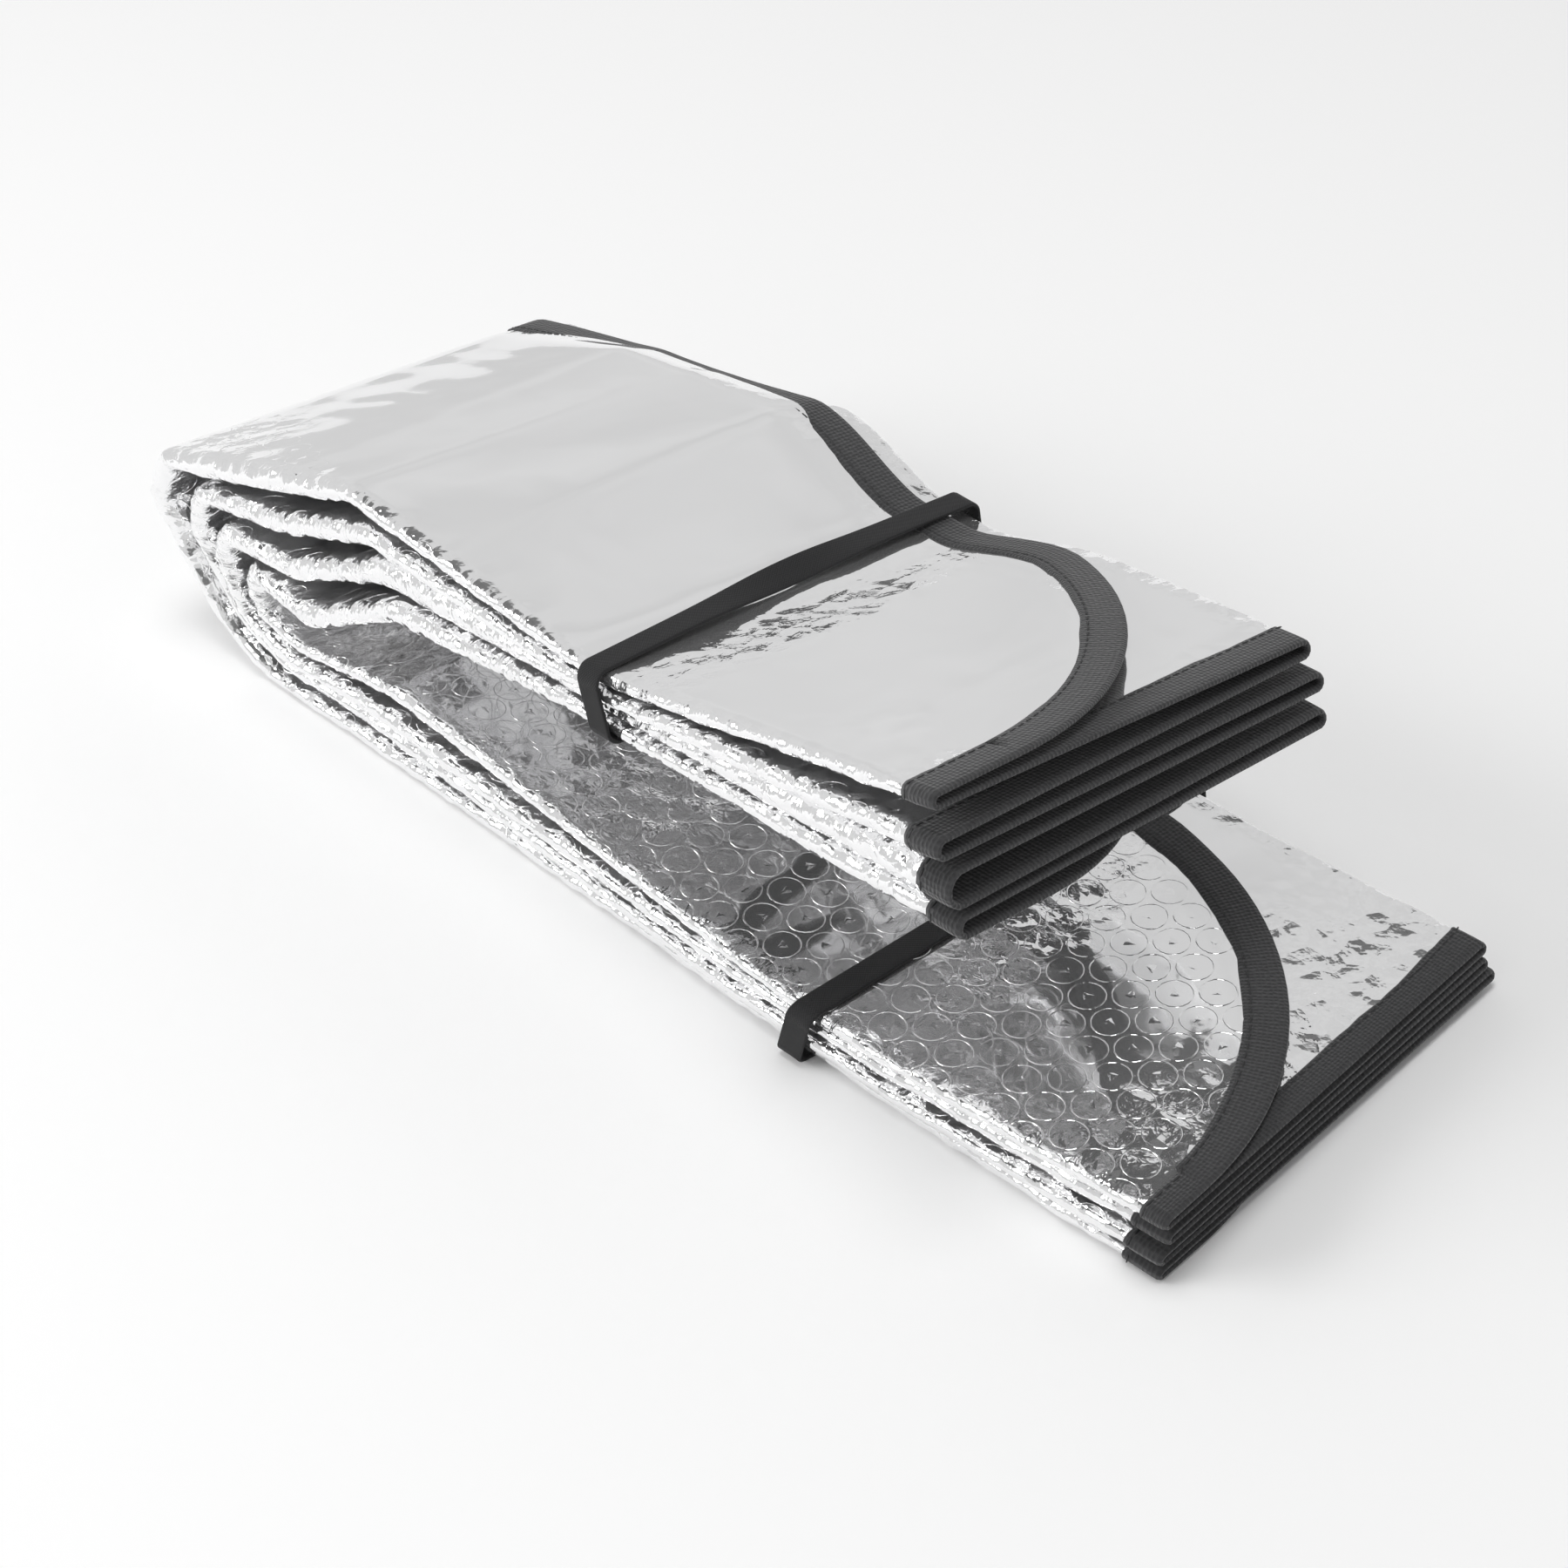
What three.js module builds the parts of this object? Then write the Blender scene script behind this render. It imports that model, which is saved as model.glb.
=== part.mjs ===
import * as THREE from 'three';

// Sheet of bubble film, folded like a concertina across the strip
const panelCount = 8;
const panelWidth = 134;
const firstPanelWidth = 125;
const lastPanelWidth = 118;
const filmThickness = 1.8;
const crushedFilm = 0.5;

// Rounded corners of the flat sheet, on the two side panels
const lowerCorner = 110;
const upperCorner = 115;
const lowerFlat = 14;
const upperFlat = 27;

// Black tape folded over the sheet's outline
const tapeWidth = 11;
const tapeThickness = 0.45;

// Flat elastic loops, one round each half of the doubled strip
const bandWidth = 8;
const bandThickness = 1;
const bandCorner = 4;
const bandTwist = 0.5;

// Fits
const clearance = 0.3;
const layerGap = 0.35;
const tapeHalf = crushedFilm / 2 + clearance + tapeThickness;
const layerHalf = Math.max(filmThickness / 2, tapeHalf);
const pitch = 2 * layerHalf + layerGap;
const flatStack = 2 * layerHalf + (panelCount - 1) * pitch;
const bandOffset = layerHalf + clearance + bandThickness / 2;

// Side view of the doubled strip: distance along the strip, x, z.
// The outermost panel lies on the table, stands up at the bend and comes back on top.
const stripLength = 742;
const outerFront = [
  [0, 356, 0], [345, 2, 0], [367, -21, 15], [395, -42, 52], [415, -31, 72],
  [456, 20, 90], [511, 69, 106], [598, 160, 98], [620, 182, 100], [stripLength, 302, 140],
];
const innerFront = [
  [0, 359, 27], [104, 255, 20], [126, 233, 20], [285, 71, 33], [345, 25, 25], [367, 9, 29],
  [395, 9, 35], [415, 11, 41], [456, 34, 35], [511, 82, 64], [598, 163, 78], [620, 185, 80],
  [stripLength, 310, 99],
];
const outerBack = [
  [0, 360, 0], [345, 20, 0], [382, -10, 32], [415, -2, 65], [480, 60, 86], [550, 128, 95],
  [598, 176, 84], [620, 198, 84], [stripLength, 303, 110],
];
const innerBack = [
  [0, 355, 16], [92, 268, 18], [114, 246, 18], [285, 84, 22], [345, 40, 19], [382, 16, 36],
  [415, 20, 46], [480, 70, 58], [550, 134, 68], [598, 178, 63], [620, 200, 63],
  [stripLength, 316, 72],
];
const frontLine = [
  [0, 0], [116, -4], [300, 0], [440, 0], [511, -1], [598, -4], [620, -5], [stripLength, -17],
];
const bendStart = 345;
const bendEnd = 470;
const droopStart = 0.84;
const droopSlope = 0.5;
const creaseBlend = 3;

// Shares of the free room between the panels at the front, on the lower and on the upper half
const frontRoom = {
  lower: [0.35, 0.8, 0.4, 0.9, 0.45, 1.3, 0.6],
  upper: [0.1, 0.9, 0.3, 0.4, 0.9, 0.15, 0.35],
};

// Where each loop crosses the strip, at the front folds and at the back
const lowerBand = { front: 116, back: 102, twist: 0 };
const upperBand = { front: 612, back: 606, twist: bandTwist };

const bandSqueeze = 8;

const foldSteps = 3;
const sideStops = 4;
const up = new THREE.Vector3(0, 0, 1);

function mix(a, b, t) {
  return a + (b - a) * t;
}

function step(lo, hi, value) {
  return THREE.MathUtils.smoothstep(value, lo, hi);
}

// Value of a guide line at a distance, each corner of the line eased over the blend length
function guideAt(guide, s) {
  const sum = new Array(guide[0].length - 1).fill(0);
  const offsets = [-1, -0.5, 0, 0.5, 1];
  for (const offset of offsets) {
    const at = s + offset * creaseBlend;
    let k = 1;
    while (k < guide.length - 1 && guide[k][0] < at) k += 1;
    const t = (at - guide[k - 1][0]) / (guide[k][0] - guide[k - 1][0]);
    for (let c = 0; c < sum.length; c += 1) {
      sum[c] += mix(guide[k - 1][c + 1], guide[k][c + 1], t) / offsets.length;
    }
  }
  return sum;
}

// How far the strip is inside the bend, 0 on the straight halves and 1 in the bend
function inBend(s) {
  return step(bendStart - 70, bendStart - 15, s) * (1 - step(bendEnd, bendEnd + 60, s));
}

// Share of the free room that the space after a panel gets, wide between two folds
function roomShare(space, s, isFront) {
  const isFold = (space % 2 === 0) === isFront;
  const upperHalf = step(bendStart, bendEnd, s);
  const drift = mix(0.5, -0.3, upperHalf) * (space / (panelCount - 2) - 0.5);
  const atBack = isFold ? 0.32 : 1 + drift + 0.25 * Math.sin(2.6 * space + s / 120);
  const k = space % frontRoom.lower.length;
  const pressed = 1 - step(3 * bandWidth, 9 * bandWidth, Math.abs(s - upperBand.front));
  const atFront = mix(mix(frontRoom.lower[k], frontRoom.upper[k], upperHalf), 0.6, pressed);
  const loose = isFront ? atFront : atBack;
  return mix(loose, isFold ? 0.6 : 1, inBend(s));
}

// Point in the side view, a given depth into the stack from its outer side
function stackPoint(s, isFront, depth) {
  const [ox, oz] = guideAt(isFront ? outerFront : outerBack, s);
  const [ix, iz] = guideAt(isFront ? innerFront : innerBack, s);
  const inward = new THREE.Vector3(ix - ox, 0, iz - oz).normalize();
  return new THREE.Vector3(ox, 0, oz).addScaledVector(inward, depth);
}

function stackRoom(s, isFront) {
  const [ox, oz] = guideAt(isFront ? outerFront : outerBack, s);
  const [ix, iz] = guideAt(isFront ? innerFront : innerBack, s);
  return Math.max(Math.hypot(ix - ox, iz - oz) - flatStack, 0);
}

function layerDepth(layer, s, isFront) {
  let before = 0;
  let total = 0;
  for (let space = 0; space < panelCount - 1; space += 1) {
    const share = roomShare(space, s, isFront);
    total += share;
    if (space < layer) before += share;
  }
  return layerHalf + layer * pitch + stackRoom(s, isFront) * before / total;
}

function frontY(s) {
  return guideAt(frontLine, s)[0];
}

// Width of the strip, drawn in a little by the upper loop
function widthAt(s) {
  const away = Math.abs(s - upperBand.back);
  return panelWidth - bandSqueeze * (1 - step(bandWidth, 7 * bandWidth, away));
}

// The strip is lifted where the lower loop passes under it
function bandLift(s, across) {
  const away = Math.abs(s - mix(lowerBand.front, lowerBand.back, across));
  return (bandThickness + clearance) * (1 - step(bandWidth, bandWidth + 22, away));
}

// Shallow waves that every panel follows, none on the side that lies on the table
function wave(layer, s, across) {
  const share = s < bendStart ? layer / (panelCount - 1) : -1;
  const shape = Math.sin(s / 23) + 0.5 * Math.sin(s / 13 + 3 * across);
  const calm = Math.min(s, stripLength - s, 3 * tapeWidth) / (3 * tapeWidth);
  return 0.8 * share * shape * calm * Math.sin(Math.PI * across) * (1 - inBend(s));
}

// The back edge of the upper half bends down between the bend and the loop
function droop(s, across) {
  const fadeOut = 1 - step(upperBand.back - 106, upperBand.back - 14, s);
  const zone = step(bendStart + 60, bendEnd + 20, s) * fadeOut;
  return droopSlope * panelWidth * zone * Math.max(across - droopStart, 0);
}

// Point on the middle surface of a panel, never below the table
function panelPoint(layer, s, across, y) {
  const front = stackPoint(s, true, layerDepth(layer, s, true));
  const back = stackPoint(s, false, layerDepth(layer, s, false));
  const point = front.lerp(back, across);
  point.z += wave(layer, s, across) - droop(s, across);
  point.z = Math.max(point.z, layerHalf) + bandLift(s, across);
  point.y = y;
  return point;
}

// Line of the fold between a panel and the next one
function foldLine(layer, s) {
  const isFront = layer % 2 === 0;
  const near = stackPoint(s, isFront, layerDepth(layer, s, isFront));
  const far = stackPoint(s, isFront, layerDepth(layer + 1, s, isFront));
  const radius = near.distanceTo(far) / 2;
  const ragged = 1.2 * Math.sin(1.9 * layer + s / 90);
  const edge = frontY(s) + ragged + (isFront ? 0 : widthAt(s));
  return { near, far, radius, edge, isFront, tangent: edge + (isFront ? radius : -radius) };
}

// Width of a side panel, less at its two rounded corners
function sideWidth(nominal, s) {
  const full = nominal - panelWidth + widthAt(s);
  const fromEnd = Math.min(s / lowerCorner, (stripLength - s) / upperCorner, 1);
  const flat = s < bendStart ? lowerFlat : upperFlat;
  return flat + (full - flat) * Math.sqrt(Math.max(1 - (1 - fromEnd) ** 2, 0));
}

// One row of middle-surface points across all the panels, from side edge to side edge
function rowAt(s) {
  const row = [];
  const folds = [];
  for (let layer = 0; layer < panelCount - 1; layer += 1) folds.push(foldLine(layer, s));
  const acrossOf = (y) => (y - frontY(s)) / widthAt(s);
  const add = (layer, y) => row.push(panelPoint(layer, s, acrossOf(y), y));
  const first = folds[0].tangent;
  const last = folds[panelCount - 2].tangent;
  const stopsOf = (full) => {
    const width = sideWidth(full, s);
    const hem = Math.min(tapeWidth + 1, width / sideStops);
    const third = Math.min(width - 1.4 * hem, droopStart * widthAt(s) + frontY(s) - first);
    return [width, width - hem, third, third / 2];
  };
  for (const stop of stopsOf(firstPanelWidth)) add(0, first + stop);
  for (let layer = 0; layer < panelCount - 1; layer += 1) {
    const fold = folds[layer];
    const outward = fold.isFront ? -1 : 1;
    add(layer, fold.tangent);
    const start = row[row.length - 1];
    const end = panelPoint(layer + 1, s, acrossOf(fold.tangent), fold.tangent);
    const half = new THREE.Vector3().subVectors(start, end).multiplyScalar(0.5);
    const middle = new THREE.Vector3().addVectors(start, end).multiplyScalar(0.5);
    for (let k = 1; k < foldSteps; k += 1) {
      const angle = Math.PI * k / foldSteps;
      const point = middle.clone().addScaledVector(half, Math.cos(angle));
      point.y += outward * half.length() * Math.sin(angle);
      row.push(point);
    }
    row.push(end);
    if (layer + 1 < panelCount - 1) {
      const bends = [droopStart / 2, droopStart];
      if (!fold.isFront) bends.reverse();
      for (const bend of bends) add(layer + 1, frontY(s) + bend * widthAt(s));
    }
  }
  for (const stop of stopsOf(lastPanelWidth).reverse()) add(panelCount - 1, last + stop);
  return row;
}

// Distances of the rows: close at the corners, at the loops and in the bend
function rowStops() {
  const stops = [];
  const fill = (from, to, spacing) => {
    const count = Math.max(Math.round((to - from) / spacing), 1);
    for (let k = 0; k < count; k += 1) stops.push(mix(from, to, k / count));
  };
  const cornerSteps = 6;
  for (let k = 0; k < cornerSteps; k += 1) {
    stops.push(lowerCorner * (1 - Math.cos(Math.PI / 2 * k / cornerSteps)));
  }
  const ordered = () => stops.sort((a, b) => a - b);
  const bandZone = 3 * bandWidth;
  const bandStops = (band) => {
    const reach = (Math.abs(band.front - band.back) + bandWidth) / 2 + 2;
    const centre = (band.front + band.back) / 2;
    fill(centre - reach, centre + reach, 6);
    fill(centre + reach, centre + reach + 3 * bandWidth, 12);
  };
  bandStops(lowerBand);
  const creases = outerFront.map(([s]) => s).filter((s) => s >= bendStart && s < upperBand.back);
  fill(lowerBand.front + bandZone, creases[0] - creaseBlend, 28);
  for (let k = 0; k < creases.length - 1; k += 1) {
    stops.push(creases[k] - creaseBlend);
    fill(creases[k] + creaseBlend, creases[k + 1] - creaseBlend, 18);
  }
  const lastCrease = creases[creases.length - 1];
  stops.push(lastCrease - creaseBlend);
  fill(lastCrease + creaseBlend, upperBand.back - bandZone, 20);
  bandStops(upperBand);
  for (let k = cornerSteps; k >= 0; k -= 1) {
    stops.push(stripLength - upperCorner * (1 - Math.cos(Math.PI / 2 * k / cornerSteps)));
  }
  return ordered().filter((s, k) => k === 0 || s - stops[k - 1] > 1.5);
}

// Normal of the middle surface at each point of the grid
function gridNormals(grid) {
  return grid.map((row, r) => row.map((point, c) => {
    const below = grid[Math.max(r - 1, 0)][c];
    const above = grid[Math.min(r + 1, grid.length - 1)][c];
    const before = row[Math.max(c - 1, 0)];
    const after = row[Math.min(c + 1, row.length - 1)];
    const along = new THREE.Vector3().subVectors(above, below);
    const aside = new THREE.Vector3().subVectors(after, before);
    return along.cross(aside).normalize();
  }));
}

// The sheet's outline as one closed list of grid places, with the way inwards at each
function outlineOf(grid) {
  const lastRow = grid.length - 1;
  const lastColumn = grid[0].length - 1;
  const places = [];
  for (let c = 0; c < lastColumn; c += 1) places.push([0, c]);
  for (let r = 0; r < lastRow; r += 1) places.push([r, lastColumn]);
  for (let c = lastColumn; c > 0; c -= 1) places.push([lastRow, c]);
  for (let r = lastRow; r > 0; r -= 1) places.push([r, 0]);
  return places;
}

function addTriangles(positions, ...corners) {
  for (const corner of corners) positions.push(corner.x, corner.y, corner.z);
}

function geometryFrom(positions) {
  const geometry = new THREE.BufferGeometry();
  geometry.setAttribute('position', new THREE.Float32BufferAttribute(positions, 3));
  geometry.computeVertexNormals();
  return geometry;
}

// Closed ring of equal cross-sections; turned says which diagonal splits a face
function ringGeometry(rings, turned = () => false) {
  const positions = [];
  for (let k = 0; k < rings.length; k += 1) {
    const ring = rings[k];
    const next = rings[(k + 1) % rings.length];
    for (let j = 0; j < ring.length; j += 1) {
      const side = (j + 1) % ring.length;
      if (turned(k, j)) {
        addTriangles(positions, ring[j], next[j], ring[side]);
        addTriangles(positions, next[j], next[side], ring[side]);
      } else {
        addTriangles(positions, ring[j], next[j], next[side]);
        addTriangles(positions, ring[j], next[side], ring[side]);
      }
    }
  }
  return geometryFrom(positions);
}

function sheetGeometry(grid, normals, places) {
  const rim = places.map(([r, c], k) => {
    const [nextR, nextC] = places[(k + 1) % places.length];
    return new THREE.Line3(grid[r][c], grid[nextR][nextC]);
  });
  const foot = new THREE.Vector3();
  const thickness = (point) => {
    const nearest = Math.min(...rim.map((edge) => (
      edge.closestPointToPoint(point, true, foot).distanceTo(point)
    )));
    return mix(crushedFilm, filmThickness, step(tapeWidth + 0.5, tapeWidth + 14, nearest));
  };
  const offset = (side) => grid.map((row, r) => row.map((point, c) => (
    point.clone().addScaledVector(normals[r][c], side * thickness(point) / 2)
  )));
  const top = offset(1);
  const bottom = offset(-1);
  const positions = [];
  for (let r = 0; r < grid.length - 1; r += 1) {
    for (let c = 0; c < grid[0].length - 1; c += 1) {
      addTriangles(positions, top[r][c], top[r + 1][c], top[r + 1][c + 1]);
      addTriangles(positions, top[r][c], top[r + 1][c + 1], top[r][c + 1]);
      addTriangles(positions, bottom[r][c], bottom[r + 1][c + 1], bottom[r + 1][c]);
      addTriangles(positions, bottom[r][c], bottom[r][c + 1], bottom[r + 1][c + 1]);
    }
  }
  places.forEach(([r, c], k) => {
    const [nextR, nextC] = places[(k + 1) % places.length];
    addTriangles(positions, top[r][c], top[nextR][nextC], bottom[nextR][nextC]);
    addTriangles(positions, top[r][c], bottom[nextR][nextC], bottom[r][c]);
  });
  return geometryFrom(positions);
}

// Direction from an outline point into the sheet: along the panels at the two long edges, along
// the row on the straight sides, and square to the outline at the rounded corners
function inwardAt(rows, grid, normals, places, k) {
  const [r, c] = places[k];
  const lastRow = grid.length - 1;
  const lastColumn = grid[0].length - 1;
  if (c > 0 && c < lastColumn) {
    const column = THREE.MathUtils.clamp(c, sideStops, lastColumn - sideStops);
    const deep = grid[r === 0 ? 2 : lastRow - 2][column];
    return new THREE.Vector3().subVectors(deep, grid[r][column]).normalize();
  }
  const [beforeR, beforeC] = places[(k + places.length - 1) % places.length];
  const [afterR, afterC] = places[(k + 1) % places.length];
  const tangent = new THREE.Vector3().subVectors(grid[afterR][afterC], grid[beforeR][beforeC]);
  const square = new THREE.Vector3().crossVectors(tangent, normals[r][c]).normalize();
  const inner = grid[r][c === 0 ? 1 : lastColumn - 1];
  const ruling = new THREE.Vector3().subVectors(inner, grid[r][c]).normalize();
  const fromEnd = Math.min(rows[r] / lowerCorner, (stripLength - rows[r]) / upperCorner);
  const straight = step(0.6, 1, fromEnd);
  return square.lerp(ruling, straight).normalize();
}

function tapeGeometry(rows, grid, normals, places) {
  const inside = crushedFilm / 2 + clearance;
  const outer = -clearance - tapeThickness;
  const section = [
    [tapeWidth, tapeHalf], [0, tapeHalf], [outer, tapeHalf / 2], [outer, -tapeHalf / 2],
    [0, -tapeHalf], [tapeWidth, -tapeHalf], [tapeWidth, -inside], [-clearance, -inside],
    [-clearance, inside], [tapeWidth, inside],
  ];
  const rings = places.map(([r, c], k) => {
    const inward = inwardAt(rows, grid, normals, places, k);
    return section.map(([a, h]) => (
      grid[r][c].clone().addScaledVector(inward, a).addScaledVector(normals[r][c], h)
    ));
  });
  // Each face is split as the face of the sheet beside it is
  const turned = (k, j) => {
    const isLongEdge = places[k][0] === places[(k + 1) % places.length][0];
    const runsInward = section[(j + 1) % section.length][0] > section[j][0];
    return isLongEdge !== runsInward;
  };
  return ringGeometry(rings, turned);
}

// Loop round the stack: its path is a rounded rectangle in width and depth, bent with the strip
function bandGeometry(band) {
  const lastLayer = panelCount - 1;
  const reach = layerHalf + clearance + bandThickness / 2 + 1.7;
  const nearY = -reach;
  const width = widthAt(band.back);
  const farY = width + reach;
  // depth 0 is the outer run of the loop and depth 1 the inner run
  const place = (along, y, depth, lift) => {
    const across = y / width;
    const s = mix(band.front, band.back, across) + along;
    const bounded = THREE.MathUtils.clamp(across, 0, 1);
    const outer = panelPoint(0, s, bounded, frontY(s) + y);
    const inner = panelPoint(lastLayer, s, bounded, frontY(s) + y);
    const inward = new THREE.Vector3().subVectors(inner, outer).normalize();
    outer.addScaledVector(inward, -bandOffset - lift);
    inner.addScaledVector(inward, bandOffset);
    const span = outer.distanceTo(inner);
    return outer.addScaledVector(inward, span * depth);
  };
  const outline = [];
  const sideSteps = 15;
  const cornerSteps = 3;
  const thick = (y) => 2 * bandOffset + mix(
    layerDepth(lastLayer, band.front, true), layerDepth(lastLayer, band.back, false), y / width,
  );
  const corner = (y, isInner, towardsY, fromAngle) => {
    const round = bandCorner / thick(y);
    for (let k = 0; k <= cornerSteps; k += 1) {
      const angle = fromAngle + Math.PI / 2 * k / cornerSteps;
      const centre = isInner ? 1 - round : round;
      outline.push({
        y: y + towardsY * bandCorner + bandCorner * Math.cos(angle),
        depth: centre + round * Math.sin(angle),
        twist: 0,
        lift: 0,
      });
    }
  };
  corner(nearY, false, 1, Math.PI);
  for (let k = 1; k < sideSteps; k += 1) {
    const t = k / sideSteps;
    const twist = band.twist * Math.exp(-(((t - 0.52) / 0.15) ** 2));
    const lift = (bandWidth + bandThickness) / 2 * Math.sin(band.twist) * Math.sin(Math.PI * t);
    outline.push({ y: mix(nearY + bandCorner, farY - bandCorner, t), depth: 0, twist, lift });
  }
  corner(farY, false, -1, -Math.PI / 2);
  corner(farY, true, -1, 0);
  for (let k = 1; k < sideSteps; k += 1) {
    outline.push({ y: mix(farY - bandCorner, nearY + bandCorner, k / sideSteps), depth: 1, twist: 0, lift: 0 });
  }
  corner(nearY, true, 1, Math.PI / 2);
  const middle = outline.map(({ y, depth, lift }) => place(0, y, depth, lift));
  const rings = outline.map(({ y, depth, twist, lift }, k) => {
    const before = middle[(k + middle.length - 1) % middle.length];
    const after = middle[(k + 1) % middle.length];
    const tangent = new THREE.Vector3().subVectors(after, before).normalize();
    const ahead = place(1, y, depth, lift);
    const along = new THREE.Vector3().subVectors(ahead, place(-1, y, depth, lift));
    const out = new THREE.Vector3().crossVectors(tangent, along).normalize();
    const wide = new THREE.Vector3().crossVectors(out, tangent).normalize();
    wide.applyAxisAngle(tangent, twist);
    out.applyAxisAngle(tangent, twist);
    const section = [
      [1, -0.6], [0.94, -1], [-0.94, -1], [-1, -0.6], [-1, 0.6], [-0.94, 1], [0.94, 1], [1, 0.6],
    ];
    return section.map(([a, b]) => (
      middle[k].clone().addScaledVector(wide, a * bandWidth / 2).addScaledVector(out, b * bandThickness / 2)
    ));
  });
  return ringGeometry(rings);
}

const rows = rowStops();
const grid = rows.map(rowAt);
const normals = gridNormals(grid);
const places = outlineOf(grid);

const foil = new THREE.MeshStandardMaterial({ color: 0xc9cbcd, roughness: 0.22, metalness: 1 });
const tape = new THREE.MeshStandardMaterial({ color: 0x2c2c2d, roughness: 0.95, metalness: 0 });
const elastic = new THREE.MeshStandardMaterial({ color: 0x242425, roughness: 0.85, metalness: 0 });

const pieces = [
  ['foil_sheet', sheetGeometry(grid, normals, places), foil],
  ['edge_binding', tapeGeometry(rows, grid, normals, places), tape],
  ['elastic_loop_upper', bandGeometry(upperBand), elastic],
  ['elastic_loop_lower', bandGeometry(lowerBand), elastic],
];

const sunshade = new THREE.Group();
for (const [name, geometry, material] of pieces) {
  const mesh = new THREE.Mesh(geometry, material);
  mesh.name = name;
  sunshade.add(mesh);
}

// The object stands on its underside, with its length and width centred
const extent = new THREE.Box3().setFromObject(sunshade);
const centre = extent.getCenter(new THREE.Vector3());
sunshade.position.set(-centre.x, -centre.y, 0).addScaledVector(up, -extent.min.z);

const group = new THREE.Group();
group.add(sunshade);

export default group;
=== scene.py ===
import math

import bpy
import numpy as np
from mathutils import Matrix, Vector


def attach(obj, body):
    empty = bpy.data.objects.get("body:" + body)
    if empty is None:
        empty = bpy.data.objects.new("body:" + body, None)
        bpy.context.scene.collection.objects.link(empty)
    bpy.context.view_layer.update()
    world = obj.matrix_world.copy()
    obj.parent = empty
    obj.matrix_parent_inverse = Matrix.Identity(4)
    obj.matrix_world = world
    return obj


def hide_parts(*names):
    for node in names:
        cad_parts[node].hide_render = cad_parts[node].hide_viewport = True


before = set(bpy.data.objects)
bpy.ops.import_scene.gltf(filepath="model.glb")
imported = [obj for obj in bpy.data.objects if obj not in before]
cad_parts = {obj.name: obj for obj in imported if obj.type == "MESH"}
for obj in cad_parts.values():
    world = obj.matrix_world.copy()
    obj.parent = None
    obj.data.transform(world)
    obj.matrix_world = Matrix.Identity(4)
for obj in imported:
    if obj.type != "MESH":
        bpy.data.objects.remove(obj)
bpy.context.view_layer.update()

mm = 0.001

# The strip, doubled over once: distance along it, x and z in mm, as the solids have them
strip = {
    "shift": (-160.0005, -58.8372, 0.0271),  # from the crease on the table to the object's own origin
    "length": 742,
    "panelCount": 8,
    "panelWidth": 134,
    "firstPanelWidth": 125,
    "lastPanelWidth": 118,
    "layerHalf": 1.0,  # half the thickness of one layer
    "pitch": 2.35,  # least distance from layer to layer
    "bend": (345, 470),
    "pressFrom": (70, 15),  # how far before the bend the panels start and end to press together
    "pressAfter": 60,
    "corners": (110, 115),
    "cornerFlats": (14, 27),
    "creaseBlend": 3,
    "lowerBand": (116, 102),
    "upperBand": (612, 606),
    "bandWidth": 8,
    "bandLift": 1.3,
    "bandLiftRamp": 22,
    "bandPress": (3, 9),  # band widths, where the loop's grip on the panels ends
    "bandSqueeze": 8,
    "squeezeReach": 7,  # band widths
    "droop": (0.84, 0.5),  # share of the width where the back edge starts to droop, and slope
    "droopZone": (60, 20, 106, 14),  # past the bend's start and end, and before the upper loop
    "foldRagged": (1.2, 1.9, 90),  # reach, turn from fold to fold and length of the uneven fold edges
    "wave": {"height": 0.8, "lengths": (23, 13), "calmEnd": 33},  # of the loose panels
    "outerFront": [
        [0, 356, 0], [345, 2, 0], [367, -21, 15], [395, -42, 52], [415, -31, 72],
        [456, 20, 90], [511, 69, 106], [598, 160, 98], [620, 182, 100], [742, 302, 140],
    ],
    "innerFront": [
        [0, 359, 27], [104, 255, 20], [126, 233, 20], [285, 71, 33], [345, 25, 25],
        [367, 9, 29], [395, 9, 35], [415, 11, 41], [456, 34, 35], [511, 82, 64],
        [598, 163, 78], [620, 185, 80], [742, 310, 99],
    ],
    "outerBack": [
        [0, 360, 0], [345, 20, 0], [382, -10, 32], [415, -2, 65], [480, 60, 86],
        [550, 128, 95], [598, 176, 84], [620, 198, 84], [742, 303, 110],
    ],
    "innerBack": [
        [0, 355, 16], [92, 268, 18], [114, 246, 18], [285, 84, 22], [345, 40, 19],
        [382, 16, 36], [415, 20, 46], [480, 70, 58], [550, 134, 68], [598, 178, 63],
        [620, 200, 63], [742, 316, 72],
    ],
    # shares of the free room between the panels at the front, lower and upper half
    "frontRoom": ((0.3, 0.8, 0.35, 0.9, 0.45, 1.4, 0.5), (0.1, 0.9, 0.3, 0.4, 0.9, 0.15, 0.35)),
    # the same at the back: at a fold, and the drift and unevenness from space to space beside one
    "backRoom": {"fold": 0.32, "drift": (0.5, -0.3), "uneven": 0.25, "turn": 2.6, "every": 120},
    "bandRoom": 0.6,  # under the upper loop
    "bendRoom": (0.6, 1.0),  # in the bend, at a fold and beside one
    "frontLine": [
        [0, 0], [116, -4], [300, 0], [440, 0], [511, -1], [598, -4], [620, -5], [742, -17],
    ],
}
shift = np.array(strip["shift"])
panelCount = strip["panelCount"]
flatStack = 2 * strip["layerHalf"] + (panelCount - 1) * strip["pitch"]


def mix(a, b, t):
    return a + (b - a) * t


def easeStep(lo, hi, value):
    t = np.clip((value - lo) / (hi - lo), 0, 1)
    return t * t * (3 - 2 * t)


def unit(vectors):
    return vectors / np.maximum(np.linalg.norm(vectors, axis=-1, keepdims=True), 1e-12)


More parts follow.
